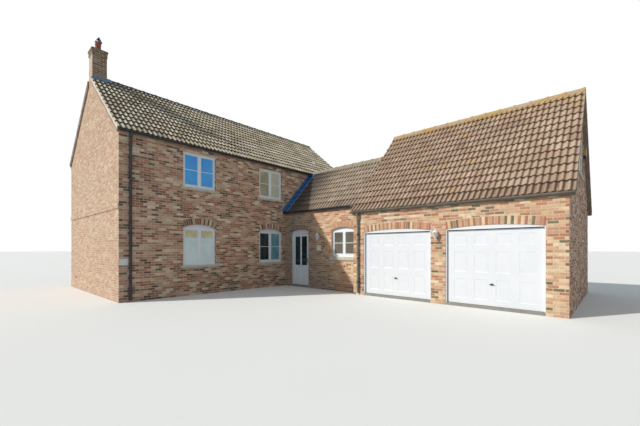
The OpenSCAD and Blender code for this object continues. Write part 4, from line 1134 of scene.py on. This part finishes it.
# Aprons down both sides of the chimney stack
for key, face_x, sign in (("house_east", shaft[2], 1), ("house_west", shaft[0], -1)):
    slope = slopes[key]
    side_v = stack_side(slope)
    h = tile_crown(slope, side_v + 0.05)
    rings = []
    for i in range(9):
        y = shaft[1] - 0.004 + (shaft[3] + 0.02 - shaft[1]) * i / 8
        u = (y - slope.origin.y) * slope.right.y
        wall_z = slope.at(u, side_v, h).z
        up = [Vector((face_x + sign * LEAD_FACE, y, wall_z + rise)) for rise in (STACK_UP, 0.012)]
        over = [slope.at(u, side_v + v, h + g) for v, g in ((0.025, 0.003), (0.060, 0.0), (0.068, -0.02))]
        inner = [q - Z * LEAD_T - X * sign * 0.6 * LEAD_T for q in reversed((up + over)[1:])]
        rings.append(up + over + inner + [up[0] - X * sign * 0.003])
    loft(lead, rings)

# Apron behind the stack, over the ridge
ridge_top = max(p.z for p in points_of("ridge_tiles") if abs(p.x - ridge_mid) < 0.3)
rings = []
for i in range(13):
    x = shaft[0] - 0.01 + (shaft[2] - shaft[0] + 0.02) * i / 12
    off = abs(x - ridge_mid)
    slope = slopes["house_east" if x > ridge_mid else "house_west"]
    v = off / abs(slope.down.x)
    z = slope.at(0, v, tile_crown(slope, v)).z
    if off < 0.19:
        z = max(z, ridge_top + 0.006 - 0.5 * off ** 2 / 0.16)
    rings.append([Vector((x, shaft[3] + e, z + g)) for e, g in
                  ((LEAD_FACE, STACK_UP), (LEAD_FACE, 0.010), (0.020, 0.002), (STACK_OVER + 0.03, 0.0),
                   (STACK_OVER + 0.038, -0.016), (STACK_OVER + 0.030, -0.016),
                   (STACK_OVER + 0.024, -LEAD_T), (0.018, -LEAD_T), (LEAD_FACE - LEAD_T, 0.0),
                   (LEAD_FACE - LEAD_T, STACK_UP))])
loft(lead, rings)
lead.become("lead_dressing", LEAD, "lead")


# Mortar bedding along the verges, under the edge tiles, at the start (0) and end (1) of a slope's width

edge_draw = random.Random(17)
ends = [(key, end) for key in ("house_east", "house_west", "garage_front", "garage_rear") for end in (0, 1)]
for name, look, some in (("verge_mortar_light", VERGE, ends[:1]), ("verge_mortar_dark", UNDERCLOAK, ends[1:])):
    verge = Pile()
    for key, end in some:
        slope = slopes[key]
        u, sign = (slope.width, 1) if end else (0.0, -1)
        beside_stack = (key, end) in (("house_east", 0), ("house_west", 1))
        start = stack_side(slope) + 0.008 if beside_stack else 0.004
        stations = round(slope.length / 0.08)
        rings = []
        for j in range(stations + 1):
            v = start + (slope.length - start) * j / stations
            bulge = edge_draw.uniform(0.002, 0.007)
            h = slope.step(v) + SEAT + edge_draw.uniform(-0.002, 0.003)
            section = (-0.03, -0.004), (bulge, -0.055), (bulge + 0.003, -0.02), (bulge, h), (-0.03, h)
            rings.append([slope.at(u + sign * e, v, g) for e, g in section])
        loft(verge, rings)
    verge.become(name, look, "brick")


# Chimney top: mortar flaunching round the pot

flaunch = Pile()
x0, y0, x1, y1 = extent("chimney_stack", stack_levels[-1])
loft(flaunch, [[start for start, _, _ in four_sides(x0 + i, y0 + i, x1 - i, y1 - i, stack_levels[-1] + rise)]
               for i, rise in ((0.01, 0.0), (0.03, 0.022), (0.10, 0.055))])
flaunch.become("chimney_flaunching", FLAUNCH, "brick")


# Wall lanterns: back plate, arm, hexagonal cage with a pitched cap, and glass

def lantern(cages, glass, low, high):
    """A lantern in the box from low to high, whose rear face is the wall's."""
    r, h = (high.x - low.x) / 2, high.z - low.z
    at = Vector(((low.x + high.x) / 2, low.y + r, low.z))
    plate = Vector((at.x, high.y, low.z + 0.42 * h))
    turned(cages, plate + Y * 0.001, -Y, [(0.042, 0.0), (0.045, 0.006), (0.034, 0.014), (0.012, 0.018)])
    turned(cages, plate, -Y, [(0.009, 0.0), (0.009, high.y - at.y - r * 0.55)], sides=12)
    turned(cages, at, Z, [(0.004, 0.0), (0.012, 0.012), (0.007, 0.028), (0.020, 0.042), (0.45 * r, 0.058),
                          (0.52 * r, 0.064), (0.50 * r, 0.072)], sides=6)
    cap = ((0.80, 0.60), (1.0, 0.615), (1.0, 0.635), (0.55, 0.77), (0.30, 0.80), (0.30, 0.83),
           (0.16, 0.88), (0.14, 0.90), (0.10, 0.93), (0.14, 0.96), (0.03, 1.0))
    turned(cages, at, Z, [(wide * r, high_up * h) for wide, high_up in cap], sides=6)
    for i in range(6):
        a = math.pi / 3 * i
        d = Y * math.cos(a) - X * math.sin(a)
        bar(cages, at + d * 0.48 * r + Z * 0.068, at + d * 0.80 * r + Z * 0.605 * h, Z.cross(d), d,
            0.007, 0.007, 0.0015)
    turned(glass, at, Z, [(0.44 * r, 0.070), (0.76 * r, 0.60 * h)], sides=6)
    turned(cages, at + Z * 0.075, Z, [(0.012, 0.0), (0.012, 0.05), (0.009, 0.055)], sides=12)


cages, cage_glass = Pile(), Pile()
for low, high in islands("wall_lanterns"):
    lantern(cages, cage_glass, low, high)
cage = cages.become("lantern_cages", LANTERN, "lantern_metal")
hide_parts("wall_lanterns")
cage_glass.become("lantern_panes", PANE, "window_glass")


# Gutter brackets

BRACKET_EVERY, BRACKET_W = 0.9, 0.022
brackets = Pile()
for low, high in islands("gutters"):
    size = high - low
    if size.x > size.y:
        along, across, out = X, Y, -Y if low.y < (LINK_F + LINK_B) / 2 else Y
    else:
        along, across, out = Y, X, X if low.x > ridge_mid else -X
    length, width = size.dot(along), size.dot(across)
    count = max(round(length / BRACKET_EVERY), 1)
    r = width / 2 + 0.003
    ring = [out * (-math.cos(a) * r) - Z * (math.sin(a) * r * size.z / (width / 2))
            for a in (math.pi * j / 8 for j in range(9))]
    ring += [q * 0.93 for q in reversed(ring)]
    for i in range(count + 1):
        centre = low + along * (0.06 + (length - 0.12) * i / count) + across * (width / 2) + Z * size.z
        loft(brackets, [[centre + q + along * end for q in ring] for end in (-BRACKET_W / 2, BRACKET_W / 2)])
brackets.become("gutter_brackets", RAINWATER, "black_plastic")


# An air brick in the near gable, a small vent beside the front door, and a vent tile

AIR_X, AIR_Z = HOUSE_W + 0.900, FLOOR + 0.390
air = Pile()
framed(air, Vector((AIR_X - STRETCHER / 2 + JOINT / 2, HOUSE_F, AIR_Z - COURSE / 2 + JOINT / 2)),
       Vector((AIR_X + STRETCHER / 2 - JOINT / 2, HOUSE_F, AIR_Z + COURSE / 2 - JOINT / 2)),
       X, -Y, [(0.0, 0.0), (0.0, 0.008), (0.010, 0.009), (0.012, 0.0)])
for i in range(8):
    at = Vector((AIR_X - 0.085 + i * 0.0243, HOUSE_F - 0.006, AIR_Z))
    bar(air, at - Z * 0.024, at + Z * 0.024, X, Y, 0.010, 0.008, 0.002)
air.become("air_brick", TERRACOTTA, "terracotta")

vent = Pile()
turned(vent, Vector((HOUSE_E + 3.30, LINK_F, FLOOR + 0.870)), -Y,
       [(0.032, 0.0), (0.034, 0.008), (0.026, 0.026), (0.022, 0.026), (0.020, 0.008)])
vent.become("wall_vent", TERRACOTTA, "terracotta")

hood = Pile("tone", "grime", "growth")
slope = slopes["house_east"]
hood_u, hood_v = LINK_F + 2.94 - slope.origin.y, (HOUSE_E - 1.04 - slope.origin.x) / slope.down.x
rings = []
for j in range(7):
    f = j / 6
    rise, half = 0.052 * math.sin(math.pi / 2 * f) + 0.012, 0.06 + 0.05 * f
    arc = [(math.cos(math.pi * i / 8), math.sin(math.pi * i / 8), 0.02 * (i in (0, 8))) for i in range(9)]
    rings.append([slope.at(hood_u + half * c, hood_v - 0.16 + 0.30 * f, 0.03 + rise * s - lip)
                  for c, s, lip in arc])
loft(hood, rings, tone=0.95)
hood.become("vent_tile", HOUSE_TILE, "roof_tile")


# Camera, floor and light

PHOTO_W, PHOTO_H = 640, 426
FOCAL_PX = 325.33
HORIZON_PX = 248.86
SENSOR = 36.0
FLOOR_REACH = 250

camera_data = bpy.data.cameras.new("camera")
camera_data.sensor_width = SENSOR
camera_data.lens = FOCAL_PX / PHOTO_W * SENSOR
camera_data.shift_y = (HORIZON_PX - PHOTO_H / 2) / PHOTO_W
camera_data.clip_end = 2 * FLOOR_REACH
camera = place("camera", camera_data)
# From the corner where the house meets the link's front, at the floor's height
camera.location = Vector((HOUSE_E + 10.737, LINK_F - 9.468, FLOOR + 1.506))
camera.rotation_euler = (math.radians(90), 0, math.atan2(0.675, 0.738))
bpy.context.scene.camera = camera

floor_mesh = bpy.data.meshes.new("floor")
floor_mesh.from_pydata([(x * FLOOR_REACH, y * FLOOR_REACH, 0) for x, y in ((-1, -1), (1, -1), (1, 1), (-1, 1))],
                       [], [(0, 1, 2, 3)])
floor_mesh.materials.append(floor_look())
floor = place("floor", floor_mesh)
floor.location.z = FOOT
floor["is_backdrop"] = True

world = bpy.data.worlds.new("studio")
world.use_nodes = True
bpy.context.scene.world = world
tree = world.node_tree
tree.nodes.clear()
mixer = tree.nodes.new("ShaderNodeMixShader")
tree.links.new(seen_rays(tree), mixer.inputs[0])
for socket, colour, strength in ((1, (0.77, 0.895, 1, 1), 0.455), (2, (1, 1, 1, 1), 1.0)):
    sky = tree.nodes.new("ShaderNodeBackground")
    sky.inputs["Color"].default_value = colour
    sky.inputs["Strength"].default_value = strength
    tree.links.new(sky.outputs[0], mixer.inputs[socket])
tree.links.new(mixer.outputs[0], tree.nodes.new("ShaderNodeOutputWorld").inputs[0])

sun_data = bpy.data.lights.new("key", "SUN")
sun_data.energy = 3.3
sun_data.angle = math.radians(1)
sun_data.color = (1.0, 0.97, 0.93)
sun = place("key", sun_data)
sun.rotation_euler = Vector((0.443, 0.735, -0.60)).to_track_quat("-Z", "Y").to_euler()

bpy.context.scene.view_settings.view_transform = "Standard"

low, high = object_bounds()
{"cad": [list(cad_low), list(cad_high)], "visual": [list(low), list(high)]}
